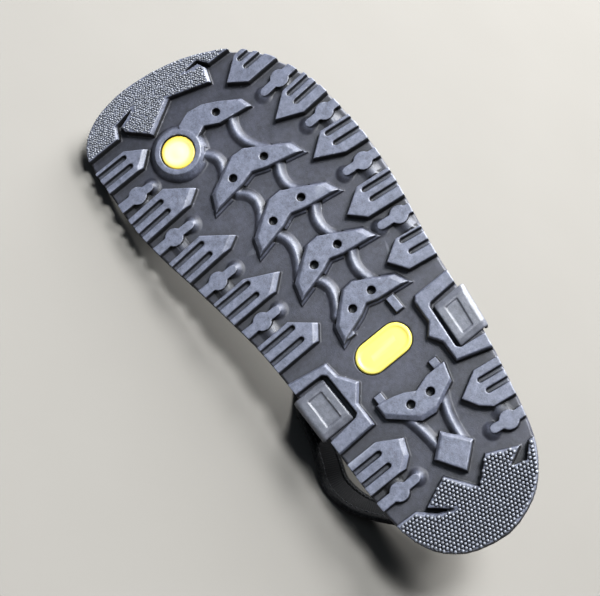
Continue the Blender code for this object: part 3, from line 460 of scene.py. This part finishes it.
def cloth(name, dark, light, rough, speck=0.0):
    """Yarn: fibres as fine noise, lighter threads scuffed by rubbing, soft sheen."""
    kit = Nodes(name, light, rough, 0.1)
    fibres = kit.noise(*FIBRES)
    tufts = kit.noise(*TUFTS)
    colour = kit.mix(kit.span(fibres, 0.0, 1.0, 0.38, 0.66), dark, light)
    if speck:
        colour = kit.mix(kit.span(tufts, 0.0, 1.0, 0.47, 0.56), colour, (speck, speck, speck * 1.01))
    else:
        colour = kit.mix(kit.span(tufts, 0.0, 0.35, 0.58, 0.78), colour, tuple(4.0 * c for c in light))
    kit.colour(colour)
    kit.roughness(kit.span(tufts, rough - 0.12, rough + 0.08, 0.3, 0.7))
    kit.shader.inputs["Sheen Weight"].default_value = SHEEN
    kit.shader.inputs["Sheen Roughness"].default_value = SHEEN_ROUGHNESS
    kit.normal(kit.bump(fibres, 0.00006, 0.8))
    return kit.material


def plastic(name, dark, light, gloss, grain, rim=None):
    """Moulded plastic: slight tone drift, fine texture, scuffs in the gloss, a deeper tone at a rim."""
    kit = Nodes(name, light, gloss[1])
    colour = kit.mix(kit.noise(*TONE_DRIFT), dark, light)
    if rim:
        away = kit.add("ShaderNodeVectorMath", operation="DISTANCE")
        kit.link(kit.place, away.inputs[0])
        away.inputs[1].default_value = SANDAL @ (sprung(Vector((*PLUG, PLUG_FACE))) * MM)
        colour = kit.mix(kit.span(away.outputs["Value"], 0.0, 1.0, 0.005, 0.0085), colour, rim)
    # Convex edges in a lighter colour: partly wear, partly painted highlight.
    edges = kit.add("ShaderNodeNewGeometry").outputs["Pointiness"]
    rubbed_and_glint = tuple(min(1.0, 1.25 * c + 0.03) for c in light)
    kit.colour(kit.mix(kit.span(edges, 0.0, 0.7, 0.53, 0.64), colour, rubbed_and_glint))
    kit.roughness(kit.span(kit.noise(*HANDLING), gloss[0], gloss[1], 0.35, 0.65))
    kit.normal(kit.bump(kit.noise(*PLASTIC_GRAIN), grain, 0.6))
    return kit.material


def new_piece(name, mesh, material, node=None, smooth=True):
    """Object that rides on the body and the node it stands for."""
    mesh.materials.clear()
    mesh.materials.append(material)
    if smooth:
        mesh.shade_smooth()
    obj = bpy.data.objects.new(name, mesh)
    bpy.context.scene.collection.objects.link(obj)
    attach(obj, "root")
    if node:
        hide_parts(node)
    return obj


def drawn(name, verts, faces):
    """Mesh from places in the sandal's axes, in millimetres."""
    mesh = bpy.data.meshes.new(name)
    mesh.from_pydata([tuple(vert) for vert in verts], [], faces)
    mesh.validate()
    bm = bmesh.new()
    bm.from_mesh(mesh)
    bmesh.ops.remove_doubles(bm, verts=bm.verts[:], dist=SAME_PLACE)
    bmesh.ops.recalc_face_normals(bm, faces=bm.faces[:])
    bm.to_mesh(mesh)
    bm.free()
    return laid_down(mesh)


def laid_down(mesh):
    """Put a mesh that is drawn in the sandal's axes, in millimetres, where the sandal lies."""
    mesh.transform(SANDAL @ Matrix.Scale(MM, 4))
    return mesh


def node_mesh(name):
    """Copy of a CAD node's mesh in the sandal's axes, in millimetres."""
    mesh = NODES[name].data.copy()
    mesh.transform(INTO_SANDAL)
    mesh.transform(Matrix.Scale(1.0 / MM, 4))
    mesh.materials.clear()
    return mesh


def applied(obj):
    """Mesh of an object with its modifiers applied, which the object then keeps."""
    graph = bpy.context.evaluated_depsgraph_get()
    graph.update()
    mesh = bpy.data.meshes.new_from_object(obj.evaluated_get(graph))
    obj.modifiers.clear()
    obj.data = mesh
    return mesh


def bell(share):
    """Round swell: one in the middle, nought at the reach."""
    return 0.5 + 0.5 * np.cos(math.pi * np.clip(share, 0.0, 1.0))


def rib_line(start, middle, end):
    """Points of a smooth curve through three places in plan."""
    pull = 2.0 * middle - (start + end) / 2.0
    parts = np.linspace(0.0, 1.0, RIB_POINTS)[:, None]
    return start * (1 - parts) ** 2 + pull * 2 * parts * (1 - parts) + end * parts ** 2


def line_distance(spots, line):
    """Distance of places in plan from a rib's line, held at the rib's reach."""
    away = np.full(len(spots), RIB_REACH)
    for a, b in zip(line, line[1:]):
        share = np.clip((spots - a) @ (b - a) / ((b - a) @ (b - a)), 0.0, 1.0)
        away = np.minimum(away, np.linalg.norm(spots - a - share[:, None] * (b - a), axis=1))
    return away


def round_ribs(plan, high, low):
    """Give the curved ribs of the tread round backs."""
    for rib in np.array(RIBS, dtype=float):
        line = rib_line(*rib)
        near = low & (high > RIB_TOP)
        for axis in (0, 1):
            near &= plan[:, axis] > line[:, axis].min() - RIB_REACH
            near &= plan[:, axis] < line[:, axis].max() + RIB_REACH
        chosen = np.flatnonzero(near)
        away = line_distance(plan[chosen], line)
        inner = away < RIB_REACH
        high[chosen[inner]] = BASE_FACE - RIB_RISE * bell(away[inner] / RIB_REACH) ** RIB_ROUND


def swell_keys(plan, high, low):
    """Raise the mounds at the inner ends of the key lugs and the ties beside their discs."""
    for inner, disc in np.array(KEYS):
        middle = inner + (disc - inner) / np.linalg.norm(disc - inner) * MOUND_SHIFT
        away = np.linalg.norm(plan - middle, axis=1)
        near = low & (away < MOUND_REACH)
        high[near] = np.minimum(high[near], BASE_FACE - MOUND_RISE * bell(away[near] / MOUND_REACH))
        along = (plan[:, 0] - disc[0]) * (1.0 if disc[0] < 0.0 else -1.0)
        away = np.abs(plan[:, 1] - disc[1]) / TIE_REACH
        near = low & (high > TIE_TOP) & (along > 0.0) & (along < TIE_LENGTH) & (away < 1.0)
        high[near] = BASE_FACE - TIE_RISE * bell(away[near])


def round_boss(plan, high, low):
    """Round the flank of the boss around the toe plug."""
    away = np.linalg.norm(plan - np.array(PLUG), axis=1)
    share = np.clip((away - BOSS_EDGE[0]) / (BOSS_EDGE[1] - BOSS_EDGE[0]), 0.0, 1.0)
    near = low & (share > 0.0) & (share < 1.0)
    high[near] = np.minimum(high[near], BASE_FACE * np.sin(0.5 * math.pi * share[near]))


def moulded(mesh):
    """Shape the low forms of the tread in place, with the toe spring taken out."""
    flat = np.empty(len(mesh.vertices) * 3)
    mesh.vertices.foreach_get("co", flat)
    spots = flat.reshape(-1, 3)
    rise = SPRING_RISE * (np.maximum(0.0, spots[:, 0] - SPRING_START) / SPRING_RUN) ** 2
    plan = np.stack((spots[:, 0] - rise * SPRING_REACH / SPRING_RISE, spots[:, 1]), axis=1)
    high = spots[:, 2] - rise
    low = high < BASE_FACE + BASE_SLACK
    for shape in (round_ribs, swell_keys, round_boss):
        shape(plan, high, low)
    spots[:, 2] = high + rise
    mesh.vertices.foreach_set("co", spots.ravel())
    mesh.update()


def softened(name, node, how, material, shape=None):
    """A CAD node redrawn with the soft edges and fillets of a moulding."""
    obj = bpy.data.objects.new(name, node_mesh(node))
    bpy.context.scene.collection.objects.link(obj)
    remesh = obj.modifiers.new("Remesh", "REMESH")
    remesh.mode = "VOXEL"
    remesh.voxel_size = how.voxel
    smooth = obj.modifiers.new("Smooth", "SMOOTH")
    smooth.factor = 0.5
    smooth.iterations = how.smooth
    mesh = applied(obj)
    if shape:
        shape(mesh)
    count = sum(len(polygon.vertices) - 2 for polygon in mesh.polygons)
    if count > how.triangles:
        decimate = obj.modifiers.new("Decimate", "DECIMATE")
        decimate.ratio = how.triangles / count
        mesh = applied(obj)
    bpy.data.objects.remove(obj, do_unlink=True)
    piece = new_piece(name, laid_down(mesh), material, node)
    piece.modifiers.new("Normals", "WEIGHTED_NORMAL")


def spring_rise(x):
    """Rise of the toe spring at a place along the sole."""
    return SPRING_RISE * (max(0.0, x - SPRING_START) / SPRING_RUN) ** 2


def inside(point, border):
    """Whether a place in plan lies inside a closed border."""
    x, y = point
    hit = False
    for (ax, ay), (bx, by) in zip(border, border[1:] + border[:1]):
        if (ay > y) != (by > y) and x < ax + (y - ay) * (bx - ax) / (by - ay):
            hit = not hit
    return hit


class Surface:
    """Looks up a CAD node's surface from below or above, in the sandal's axes."""

    def __init__(self, node, upward):
        mesh = node_mesh(node)
        polygons = [tuple(polygon.vertices) for polygon in mesh.polygons]
        self.tree = BVHTree.FromPolygons([vert.co for vert in mesh.vertices], polygons)
        bpy.data.meshes.remove(mesh)
        self.way = Vector((0.0, 0.0, 1.0 if upward else -1.0))

    def at(self, x, y):
        """Place and normal of the surface, or None."""
        start = Vector((x, y, 0.0)) - self.way * RAY_START
        place, normal, _, _ = self.tree.ray_cast(start, self.way)
        return (place, normal) if place else None

    def level(self, x, y, room):
        """Place and normal where the surface stays level all around, or None."""
        middle = self.at(x, y)
        if not middle or middle[1].dot(self.way) > -LEVEL_FACING:
            return None
        for dx, dy in ((room, 0), (-room, 0), (0, room), (0, -room)):
            near = self.at(x + dx, y + dy)
            if not near or abs((near[0] - middle[0]).dot(middle[1])) > LEVEL_STEP:
                return None
        return middle


def tube(faces, first, sides, rings):
    """Quads between rings of vertices that follow each other."""
    for start in range(first, first + (rings - 1) * sides, sides):
        for index in range(sides):
            a, b = start + index, start + (index + 1) % sides
            faces.append((a, b, b + sides, a + sides))


def closed_tube(faces, first, sides, rings):
    """Rings joined by quads, with a face at both ends."""
    tube(faces, first, sides, rings)
    for start in (first, first + (rings - 1) * sides):
        faces.append(tuple(range(start, start + sides)))


def bump_on(verts, faces, place, normal, turn, rings, sides, stretch=1.0):
    """Add a small closed bump: rings of a radius and a height over the surface."""
    side = normal.cross(ALONG if abs(normal.x) < 0.9 else ASIDE).normalized()
    other = normal.cross(side)
    first = len(verts)
    for radius, height in rings:
        for index in range(sides):
            angle = turn + 2.0 * math.pi * index / sides
            out = side * math.cos(angle) * stretch + other * math.sin(angle) / stretch
            verts.append(place + out * radius + normal * height)
    closed_tube(faces, first, sides, len(rings))


def heel_studs(sole, material):
    """Staggered round studs on the heel cap."""
    verts, faces = [], []
    grain = random.Random(3)
    step = STUD_PITCH * ROW_STEP
    for row in range(int(HEEL_CAP_REACH / step)):
        for column in STUD_COLUMNS:
            x = HEEL_CAP_START + row * step + grain.uniform(-STUD_DRIFT, STUD_DRIFT)
            y = (column + 0.5 * (row % 2)) * STUD_PITCH + grain.uniform(-STUD_DRIFT, STUD_DRIFT)
            if not inside((x, y), HEEL_CAP):
                continue
            spot = sole.level(x, y, room=0.5)
            if spot and abs(spot[0].z) < 0.3:
                bump_on(verts, faces, *spot, turn=0.4, rings=STUD_RINGS, sides=8)
    new_piece("heel_studs", drawn("heel_studs", verts, faces), material)


def toe_pebbles(sole, material):
    """Irregular pebbled grain on the toe cap."""
    verts, faces = [], []
    grain = random.Random(7)
    step = PEBBLE_PITCH * ROW_STEP
    for row in range(int(TOE_CAP_REACH / step)):
        for column in PEBBLE_COLUMNS:
            x = TOE_CAP_START + row * step + grain.uniform(-PEBBLE_DRIFT, PEBBLE_DRIFT)
            y = (column + 0.5 * (row % 2)) * PEBBLE_PITCH + grain.uniform(-PEBBLE_DRIFT, PEBBLE_DRIFT)
            if not inside((x - TOE_CAP_SHIFT * (x - TOE_CAP_START), y), TOE_CAP):
                continue
            spot = sole.level(x, y, room=0.6)
            if not spot or abs(spot[0].z - spring_rise(x)) > 1.0:
                continue
            size = grain.uniform(0.52, 0.72)
            height = grain.uniform(0.32, 0.55)
            rings = [PEBBLE_FOOT, (size, 0.05), (size * 0.86, height * 0.6), (size * 0.45, height)]
            turn = grain.uniform(0, 6.28)
            stretch = grain.uniform(0.85, 1.3)
            bump_on(verts, faces, *spot, turn, rings, sides=6, stretch=stretch)
    new_piece("toe_pebbles", drawn("toe_pebbles", verts, faces), material)


def footbed_ribs(bed, material):
    """Fine ribs across the front half of the footbed."""
    verts, faces = [], []
    taper = ASIDE * BED_RIB_TAPER
    x = TEXTURE_SPLIT + 2.0
    while x < TEXTURE_ENDS[1]:
        run = []
        for y in BED_RIB_SIDES:
            spot = bed.level(x, float(y), room=0.5)
            if spot:
                run.append(spot[0])
                continue
            if len(run) > 3:
                first = len(verts)
                places = (run[0], run[0] + taper, run[-1] - taper, run[-1])
                for place, drop in zip(places, BED_RIB_DROPS):
                    for dx, dz in BED_RIB_PROFILE:
                        verts.append(place + Vector((dx, 0.0, dz - drop)))
                closed_tube(faces, first, len(BED_RIB_PROFILE), len(places))
            run = []
        x += BED_RIB_PITCH
    new_piece("footbed_ribs", drawn("footbed_ribs", verts, faces), material, smooth=False)


def footbed_dots(bed, material):
    """Grid of low dots on the back half of the footbed."""
    verts, faces = [], []
    rows = int((TEXTURE_SPLIT + 1.0 - TEXTURE_ENDS[0]) / (DOT_PITCH * 0.5))
    for row in range(rows):
        x = TEXTURE_ENDS[0] + row * DOT_PITCH * 0.5
        for column in DOT_COLUMNS:
            y = (column + 0.5 * (row % 2)) * DOT_PITCH
            spot = bed.level(x, y, room=0.8)
            if spot:
                bump_on(verts, faces, *spot, turn=0.0, rings=DOT_RINGS, sides=4)
    new_piece("footbed_dots", drawn("footbed_dots", verts, faces), material, smooth=False)


def sprung(place):
    """A place in plan and height after the toe spring has bent the sole."""
    rise = spring_rise(place.x)
    return place + Vector((rise * SPRING_REACH / SPRING_RISE, 0.0, rise))


def between(route, place):
    """Smooth point and twist at a place along a route, counted in stops."""
    last = len(route) - 1
    index = min(max(int(math.floor(place)), 0), last - 1)
    share = place - index
    near = [Vector(route[min(max(index + step, 0), last)]) for step in (-1, 0, 1, 2)]
    a, b, c, d = near
    value = (
        2.0 * b + (c - a) * share + (2.0 * a - 5.0 * b + 4.0 * c - d) * share ** 2
        + (3.0 * b - a - 3.0 * c + d) * share ** 3
    ) * 0.5
    return Vector(value[:3]), value[3]


def frame_at(strap, place):
    """Middle of the webbing with its run, the way across it and the way outward."""
    middle, twist = between(strap.route, place)
    run = (between(strap.route, place + 0.02)[0] - between(strap.route, place - 0.02)[0]).normalized()
    level = (strap.reference - run * strap.reference.dot(run)).normalized()
    square = run.cross(level)
    turn = math.radians(twist)
    across = level * math.cos(turn) + square * math.sin(turn)
    return middle, run, across, across.cross(run)


class Path:
    """Frames along a strap by the length of its webbing."""

    def __init__(self, strap):
        self.strap = strap
        steps = (len(strap.route) - 1) * ROUTE_STEPS
        self.places = [step / ROUTE_STEPS for step in range(steps + 1)]
        points = [between(strap.route, place)[0] for place in self.places]
        self.lengths = [0.0]
        for a, b in zip(points, points[1:]):
            self.lengths.append(self.lengths[-1] + (b - a).length)
        self.length = self.lengths[-1]
        self.cursor = 0

    def place(self, length):
        """Place in stops at a length along the webbing."""
        if length < self.lengths[self.cursor]:
            self.cursor = 0
        while self.cursor < len(self.lengths) - 2 and self.lengths[self.cursor + 1] < length:
            self.cursor += 1
        a, b = self.lengths[self.cursor], self.lengths[self.cursor + 1]
        share = min(max((length - a) / (b - a), 0.0), 1.0)
        return self.places[self.cursor] + share / ROUTE_STEPS

    def frame(self, length):
        """Frame at a length along the webbing."""
        return frame_at(self.strap, self.place(length))


def loop_profile(width, thick):
    """Points around a flat band: place across and outward, and the way its surface faces."""
    half, edge = width / 2.0, thick / 2.0
    flat = half - edge
    points = []
    steps = WEAVE_COLUMNS - 1
    for index in range(WEAVE_COLUMNS):
        points.append((-flat + 2.0 * flat * index / steps, edge, 0.0, 1.0))
    for turn in (50, 0, -50):
        angle = math.radians(turn)
        nu, nv = math.cos(angle), math.sin(angle)
        points.append((flat + edge * nu, edge * nv, nu, nv))
    for index in range(WEAVE_COLUMNS):
        points.append((flat - 2.0 * flat * index / steps, -edge, 0.0, -1.0))
    for turn in (230, 180, 130):
        angle = math.radians(turn)
        nu, nv = math.cos(angle), math.sin(angle)
        points.append((-flat + edge * nu, edge * nv, nu, nv))
    return points


def rib_weave(length, across, facing):
    """Height of a ribbed weave: ridges across the band, each broken into short floats."""
    bay = math.floor(across / WEAVE_BAY)
    lean = 0.16 * math.sin(across * 2.0 * math.pi / WEAVE_BAY)
    wave = math.cos(2.0 * math.pi * (length / WEAVE_PITCH + 0.5 * (bay % 2) * 0.35) + lean)
    return WEAVE_DEPTH * (0.5 + 0.5 * wave) ** 0.7 * (0.35 + 0.65 * abs(facing))


def band(name, path, start=0.0, stop=None):
    """Webbing along a path between two lengths, its weave standing on its faces, closed at the ends."""
    profile = loop_profile(path.strap.width, path.strap.thick)
    stop = path.length if stop is None else stop
    rings = int((stop - start) / WEAVE_STEP)
    verts, faces = [], []
    for ring in range(rings + 1):
        length = start + (stop - start) * ring / rings
        middle, _, across, outward = path.frame(length)
        for u, v, nu, nv in profile:
            height = rib_weave(length, u, nv)
            verts.append(sprung(middle + across * (u + nu * height) + outward * (v + nv * height)))
    closed_tube(faces, 0, len(profile), rings + 1)
    return drawn(name, verts, faces)


def binding(name, path, side, start, stop):
    """Smooth tape folded around one edge of a band."""
    half = BINDING_SPAN / 2.0
    cloth_face = path.strap.thick / 2.0
    over = cloth_face + BINDING_THICK
    inner = half - BINDING_WIDTH
    section = [(inner, cloth_face - 0.2), (inner + 0.12, over - 0.12), (inner + 0.5, over)]
    section += [(half - 1.2, over), (half - 0.2, over * 0.82), (half + 0.3, over * 0.35)]
    section += [(u, -v) for u, v in reversed(section)]
    rings = int(stop - start)
    verts, faces = [], []
    for ring in range(rings + 1):
        length = start + (stop - start) * ring / rings
        middle, _, across, outward = path.frame(length)
        ripple = 0.05 * math.sin(length * 2.6) + 0.04 * math.sin(length * 1.1 + 1.0)
        for u, v in section:
            verts.append(sprung(middle + across * (u * side) + outward * (v * (1.0 + ripple * 0.6))))
    closed_tube(faces, 0, len(section), rings + 1)
    return drawn(name, verts, faces)


def stitch(verts, faces, place, run, facing, length, radius):
    """One rounded thread that dips into the cloth at both ends."""
    side = run.cross(facing)
    first = len(verts)
    for share, size, lift in STITCH:
        for index in range(STITCH_SIDES):
            angle = 2.0 * math.pi * index / STITCH_SIDES
            out = side * math.cos(angle) + facing * math.sin(angle)
            verts.append(place + run * (share * length) + (out * size + facing * lift) * radius)
    closed_tube(faces, first, STITCH_SIDES, len(STITCH))


def seam(verts, faces, path, row, side, face):
    """Row of stitches along a band, near one of its sides, on one of its faces."""
    start, stop = row.ends[0], path.length - row.ends[1]
    count = int((stop - start) / STITCH_PITCH)
    for index in range(count):
        length = start + (index + 0.5) * (stop - start) / count
        middle, run, across, outward = path.frame(length)
        place = sprung(middle + across * (side * row.across) + outward * (face * row.height))
        stitch(verts, faces, place, run, outward * face, STITCH_LONG, STITCH_RADIUS)


def cross_seam(verts, faces, path, row, length):
    """Row of stitches across the outer face of a band."""
    middle, _, across, outward = path.frame(length)
    count = int(2.0 * row.across / STITCH_PITCH)
    for index in range(count):
        u = row.across * (2.0 * (index + 0.5) / count - 1.0)
        place = sprung(middle + across * u + outward * row.height)
        stitch(verts, faces, place, across, outward, STITCH_LONG, STITCH_RADIUS)


def straps(webbing, tape, thread):
    """The three runs of webbing that make the upper, with their tape and stitches."""
    arch, toe, heel = Path(ARCH), Path(TOE), Path(HEEL)
    start, stop = HEEL_ENDS[0], heel.length - HEEL_ENDS[1]
    new_piece("arch_strap", band("arch_strap", arch), webbing, "upper")
    new_piece("toe_strap", band("toe_strap", toe), webbing, "upper")
    new_piece("heel_strap", band("heel_strap", heel, start, stop), webbing, "upper")
    for name, side in (("heel_tape_low", -1.0), ("heel_tape_high", 1.0)):
        new_piece(name, binding(name, heel, side, start, stop), tape, "upper")
    verts, faces = [], []
    for side in (-1.0, 1.0):
        for face in (-1.0, 1.0):
            for path, row in ((heel, HEEL_SEAM), (arch, ARCH_SEAM), (toe, TOE_SEAM)):
                seam(verts, faces, path, row, side, face)
    for end, sign in ((start, 1.0), (stop, -1.0)):
        for shift in HEEL_CROSS.ends:
            cross_seam(verts, faces, heel, HEEL_CROSS, end + sign * shift)
    for shift in TOE_CROSS.ends:
        cross_seam(verts, faces, toe, TOE_CROSS, toe.length - shift)
    new_piece("seams", drawn("seams", verts, faces), thread, "upper")


def tab(cloth_material, thread):
    """Pale woven tab on the outside of the heel strap, sewn down along two edges."""
    mesh = node_mesh("pull_tab")
    points = [vert.co.copy() for vert in mesh.vertices]
    bpy.data.meshes.remove(mesh)
    centre = sum(points, Vector()) / len(points)
    _, run, across, outward = frame_at(HEEL, TAB_AT)
    spans = [[(point - centre).dot(axis) for point in points] for axis in (run, across, outward)]
    long, wide, deep = (max(span) for span in spans)
    verts, faces = [], []
    columns, rows = TAB_THREADS
    for sign in (1.0, -1.0):
        for row in range(rows + 1):
            for column in range(columns + 1):
                u = -1.0 + 2.0 * column / columns
                w = -1.0 + 2.0 * row / rows
                weave = TAB_WEAVE * math.cos(column * math.pi) * math.cos(row * math.pi)
                crown = max(0.0, 1.0 - max(abs(u), abs(w)) ** 8)
                bow = TAB_BOW * math.sin(w * 2.2)
                height = sign * (deep * 0.55 + (deep * 0.35 + weave) * crown) + bow
                spread = run * (u * long) + across * (w * wide)
                verts.append(centre + spread * TAB_FILL + outward * height)
    size = (rows + 1) * (columns + 1)
    for layer in (0, 1):
        for row in range(rows):
            for column in range(columns):
                a = layer * size + row * (columns + 1) + column
                faces.append((a, a + 1, a + columns + 2, a + columns + 1))
    rim = list(range(columns))
    rim += [row * (columns + 1) + columns for row in range(rows)]
    rim += [rows * (columns + 1) + column for column in range(columns, 0, -1)]
    rim += [row * (columns + 1) for row in range(rows, 0, -1)]
    for a, b in zip(rim, rim[1:] + rim[:1]):
        faces.append((a, b, b + size, a + size))
    new_piece("tab_cloth", drawn("tab_cloth", verts, faces), cloth_material, "pull_tab")
    verts, faces = [], []
    for sign in (-1.0, 1.0):
        for index in range(TAB_STITCHES):
            u = (2.0 * (index + 0.5) / TAB_STITCHES - 1.0) * long
            place = centre + run * u + across * (sign * wide * 0.72) + outward * (deep * 0.86)
            stitch(verts, faces, place, run, outward, TAB_STITCH_LONG, TAB_STITCH_RADIUS)
    new_piece("tab_seams", drawn("tab_seams", verts, faces), thread, "pull_tab")


def rod(verts, faces, start, stop, radius):
    """Slim bar with rounded ends."""
    run = (stop - start).normalized()
    side = run.orthogonal().normalized()
    other = run.cross(side)
    sides = 10
    length = (stop - start).length
    first = len(verts)
    ends = [(0.0, 0.3), (0.3, 0.75), (0.8, 1.0)]
    rings = [(shift * radius, size) for shift, size in ends]
    rings += [(length - shift * radius, size) for shift, size in reversed(ends)]
    for shift, size in rings:
        for index in range(sides):
            angle = 2.0 * math.pi * index / sides
            out = side * math.cos(angle) + other * math.sin(angle)
            verts.append(start + run * shift + out * size * radius)
    closed_tube(faces, first, sides, len(rings))


def buckle_grip(material):
    """Grip ridges across the lever of the buckle."""
    middle, run, across, outward = frame_at(ARCH, BUCKLE_AT)
    verts, faces = [], []
    for step in range(GRIP_COUNT):
        along = GRIP_START + GRIP_PITCH * step
        up = LEVER_ROOT + LEVER_SLOPE * along
        spot = middle + run * along + outward * up
        rod(verts, faces, spot - across * LEVER_HALF, spot + across * LEVER_HALF, GRIP_RADIUS)
    new_piece("buckle_grip", drawn("buckle_grip", verts, faces), material)


def plug(material):
    """Turned disc with a rounded rim, a shallow dish and a low centre."""
    outline = [
        (0.0, 0.28), (2.2, 0.28), (2.6, 0.36), (5.4, 0.36), (5.9, 0.3), (6.4, 0.12), (6.9, 0.0),
        (7.6, -0.02), (8.1, 0.08), (8.45, 0.34), (8.55, 0.7), (8.55, PLUG_THICK - 0.05),
        (8.3, PLUG_THICK - 0.02), (0.0, PLUG_THICK - 0.02),
    ]
    sides = 96
    verts, faces = [], []
    for radius, depth in outline:
        for index in range(sides):
            angle = 2.0 * math.pi * index / sides
            x = PLUG.x + radius * math.cos(angle)
            y = PLUG.y + radius * math.sin(angle)
            verts.append(sprung(Vector((x, y, PLUG_FACE + depth))))
    tube(faces, 0, sides, len(outline))
    new_piece("plug_disc", drawn("plug_disc", verts, faces), material, "toe_plug")


def inlay(material):
    """Bare round-ended inlay with a raised rim and a soft crowned field."""
    levels = [
        (0.0, 0.9), (0.35, 0.25), (0.9, 0.02), (1.5, 0.02), (2.0, 0.3), (2.5, 0.5), (3.5, 0.48),
        (5.0, 0.4), (6.5, 0.34), (7.9, 0.32),
    ]
    arc = 26
    verts, faces = [], []
    rims = [(0.0, INLAY_FLOOR - INLAY_FACE)] + levels
    for inset, depth in rims:
        radius = INLAY_RADIUS - 0.05 - inset
        for end in (1.0, -1.0):
            for index in range(arc):
                angle = math.pi * index / (arc - 1) + (0.0 if end > 0 else math.pi)
                verts.append(Vector((
                    INLAY.x + radius * math.cos(angle),
                    INLAY.y + end * INLAY_REACH + radius * math.sin(angle),
                    INLAY_FACE + depth,
                )))
    closed_tube(faces, 0, 2 * arc, len(rims))
    new_piece("inlay_disc", drawn("inlay_disc", verts, faces), material, "tread_inlay")


def add_floor():
    """Plain pale floor."""
    mesh = bpy.data.meshes.new("floor")
    corners = [(x * FLOOR_HALF, y * FLOOR_HALF, 0.0) for x, y in ((-1, -1), (1, -1), (1, 1), (-1, 1))]
    mesh.from_pydata(corners, [], [(0, 1, 2, 3)])
    floor = bpy.data.objects.new("floor", mesh)
    bpy.context.scene.collection.objects.link(floor)
    kit = Nodes("floor", FLOOR_NEAR[0], 0.9, 0.05)
    near = kit.mix(kit.noise(*FLOOR_DRIFT), *FLOOR_NEAR)
    away = kit.add("ShaderNodeVectorMath", operation="LENGTH")
    kit.link(kit.place, away.inputs[0])
    kit.colour(kit.mix(kit.span(away.outputs["Value"], 0.0, 1.0, *FLOOR_FADE), near, FLOOR_FAR))
    mesh.materials.append(kit.material)


def add_world():
    """Soft room light, pale at the horizon and dim overhead."""
    world = bpy.data.worlds.new("studio")
    bpy.context.scene.world = world
    world.use_nodes = True
    tree = world.node_tree
    sky = tree.nodes["Background"]
    sky.inputs["Color"].default_value = SKY_COLOUR
    place = tree.nodes.new("ShaderNodeTexCoord")
    parts = tree.nodes.new("ShaderNodeSeparateXYZ")
    fade = tree.nodes.new("ShaderNodeMapRange")
    for key, value in zip(SPAN_SOCKETS, SKY_FADE):
        fade.inputs[key].default_value = value
    tree.links.new(place.outputs["Generated"], parts.inputs["Vector"])
    tree.links.new(parts.outputs["Z"], fade.inputs["Value"])
    tree.links.new(fade.outputs["Result"], sky.inputs["Strength"])


add_camera()
view = bpy.context.scene.view_settings
view.view_transform = "Standard"
view.look = "Medium High Contrast"

# Lug faces lighter than the base, partly wear and partly painted light; near-black upright sides as
# painted shade.
RUBBER = rubber(
    "rubber", dark=(0.0235, 0.0242, 0.034), light=(0.0345, 0.0358, 0.0505), gloss=(0.38, 0.52),
    specular=0.6, rubbed_and_glint=(0.26, 0.272, 0.315), scuff=0.36, faces=(0.09, 0.0965, 0.127),
    walls=(0.008, 0.008, 0.01),
)
# Stud and pebble tops in a lighter colour, partly wear and partly painted light, with painted shade on
# the ground between them.
STUDDED = rubber(
    "studded_rubber", dark=(0.012, 0.012, 0.014), light=(0.016, 0.016, 0.018), gloss=(0.34, 0.46),
    specular=0.7, rubbed_and_glint=(0.3, 0.31, 0.33), scuff=0.36, faces=(0.095, 0.103, 0.133),
    walls=(0.012, 0.012, 0.0145), fade=(-0.6, -0.2),
)
SATIN = rubber(
    "satin_rubber", dark=(0.07, 0.072, 0.085), light=(0.1, 0.103, 0.12), gloss=(0.36, 0.48),
    specular=0.6, rubbed_and_glint=(0.26, 0.26, 0.28), scuff=0.3,
)
FOAM = rubber(
    "foam", dark=(0.055, 0.059, 0.068), light=(0.075, 0.08, 0.092), gloss=(0.55, 0.7),
    specular=0.35, rubbed_and_glint=(0.12, 0.125, 0.135), scuff=0.13,
)
WEBBING = cloth("webbing", dark=(0.003, 0.003, 0.0035), light=(0.012, 0.012, 0.0135), rough=0.66)
TAPE = cloth("tape", dark=(0.005, 0.005, 0.006), light=(0.012, 0.012, 0.013), rough=0.74, speck=0.03)
THREAD = cloth("thread", dark=(0.05, 0.05, 0.052), light=(0.11, 0.11, 0.115), rough=0.6)
TAB_CLOTH = cloth("tab_cloth", dark=(0.3, 0.295, 0.28), light=(0.42, 0.41, 0.39), rough=0.7)
BLACK = plastic(
    "black_plastic", dark=(0.006, 0.006, 0.007), light=(0.012, 0.012, 0.013), gloss=(0.2, 0.34),
    grain=0.00002,
)
PALE = plastic(
    "pale_plastic", dark=(0.55, 0.5, 0.25), light=(0.63, 0.58, 0.31), gloss=(0.32, 0.44),
    grain=0.00002, rim=(0.56, 0.4, 0.04),
)
YELLOW = plastic(
    "yellow_plastic", dark=(0.56, 0.47, 0.1), light=(0.62, 0.53, 0.12), gloss=(0.34, 0.46),
    grain=0.00003,
)

softened("tread", "outsole", TREAD, RUBBER, moulded)
SOLE = Surface("outsole", upward=True)
heel_studs(SOLE, STUDDED)
toe_pebbles(SOLE, STUDDED)
softened("footbed_layer", "footbed", FOOTBED, FOAM)
BED = Surface("footbed", upward=False)
footbed_ribs(BED, FOAM)
footbed_dots(BED, FOAM)
softened("pad_medial", "anchor_medial", PAD, SATIN)
softened("pad_lateral", "anchor_lateral", PAD, SATIN)
softened("buckle_shell", "buckle", SHELL, BLACK)
buckle_grip(BLACK)
plug(PALE)
inlay(YELLOW)
straps(WEBBING, TAPE, THREAD)
tab(TAB_CLOTH, THREAD)

add_floor()
add_light("window", place=(0.51, -0.95, 1.22), size=(0.8, 1.5), power=108, colour=(0.97, 0.985, 1.0))
add_light("overhead", place=(0.11, 0.26, 1.55), size=(0.45, 0.45), power=48, colour=(0.95, 0.975, 1.0))
add_light("front", place=(0.5, 1.14, 1.01), size=(1.24, 1.24), power=4, colour=(0.66, 0.82, 1.0))
add_world()
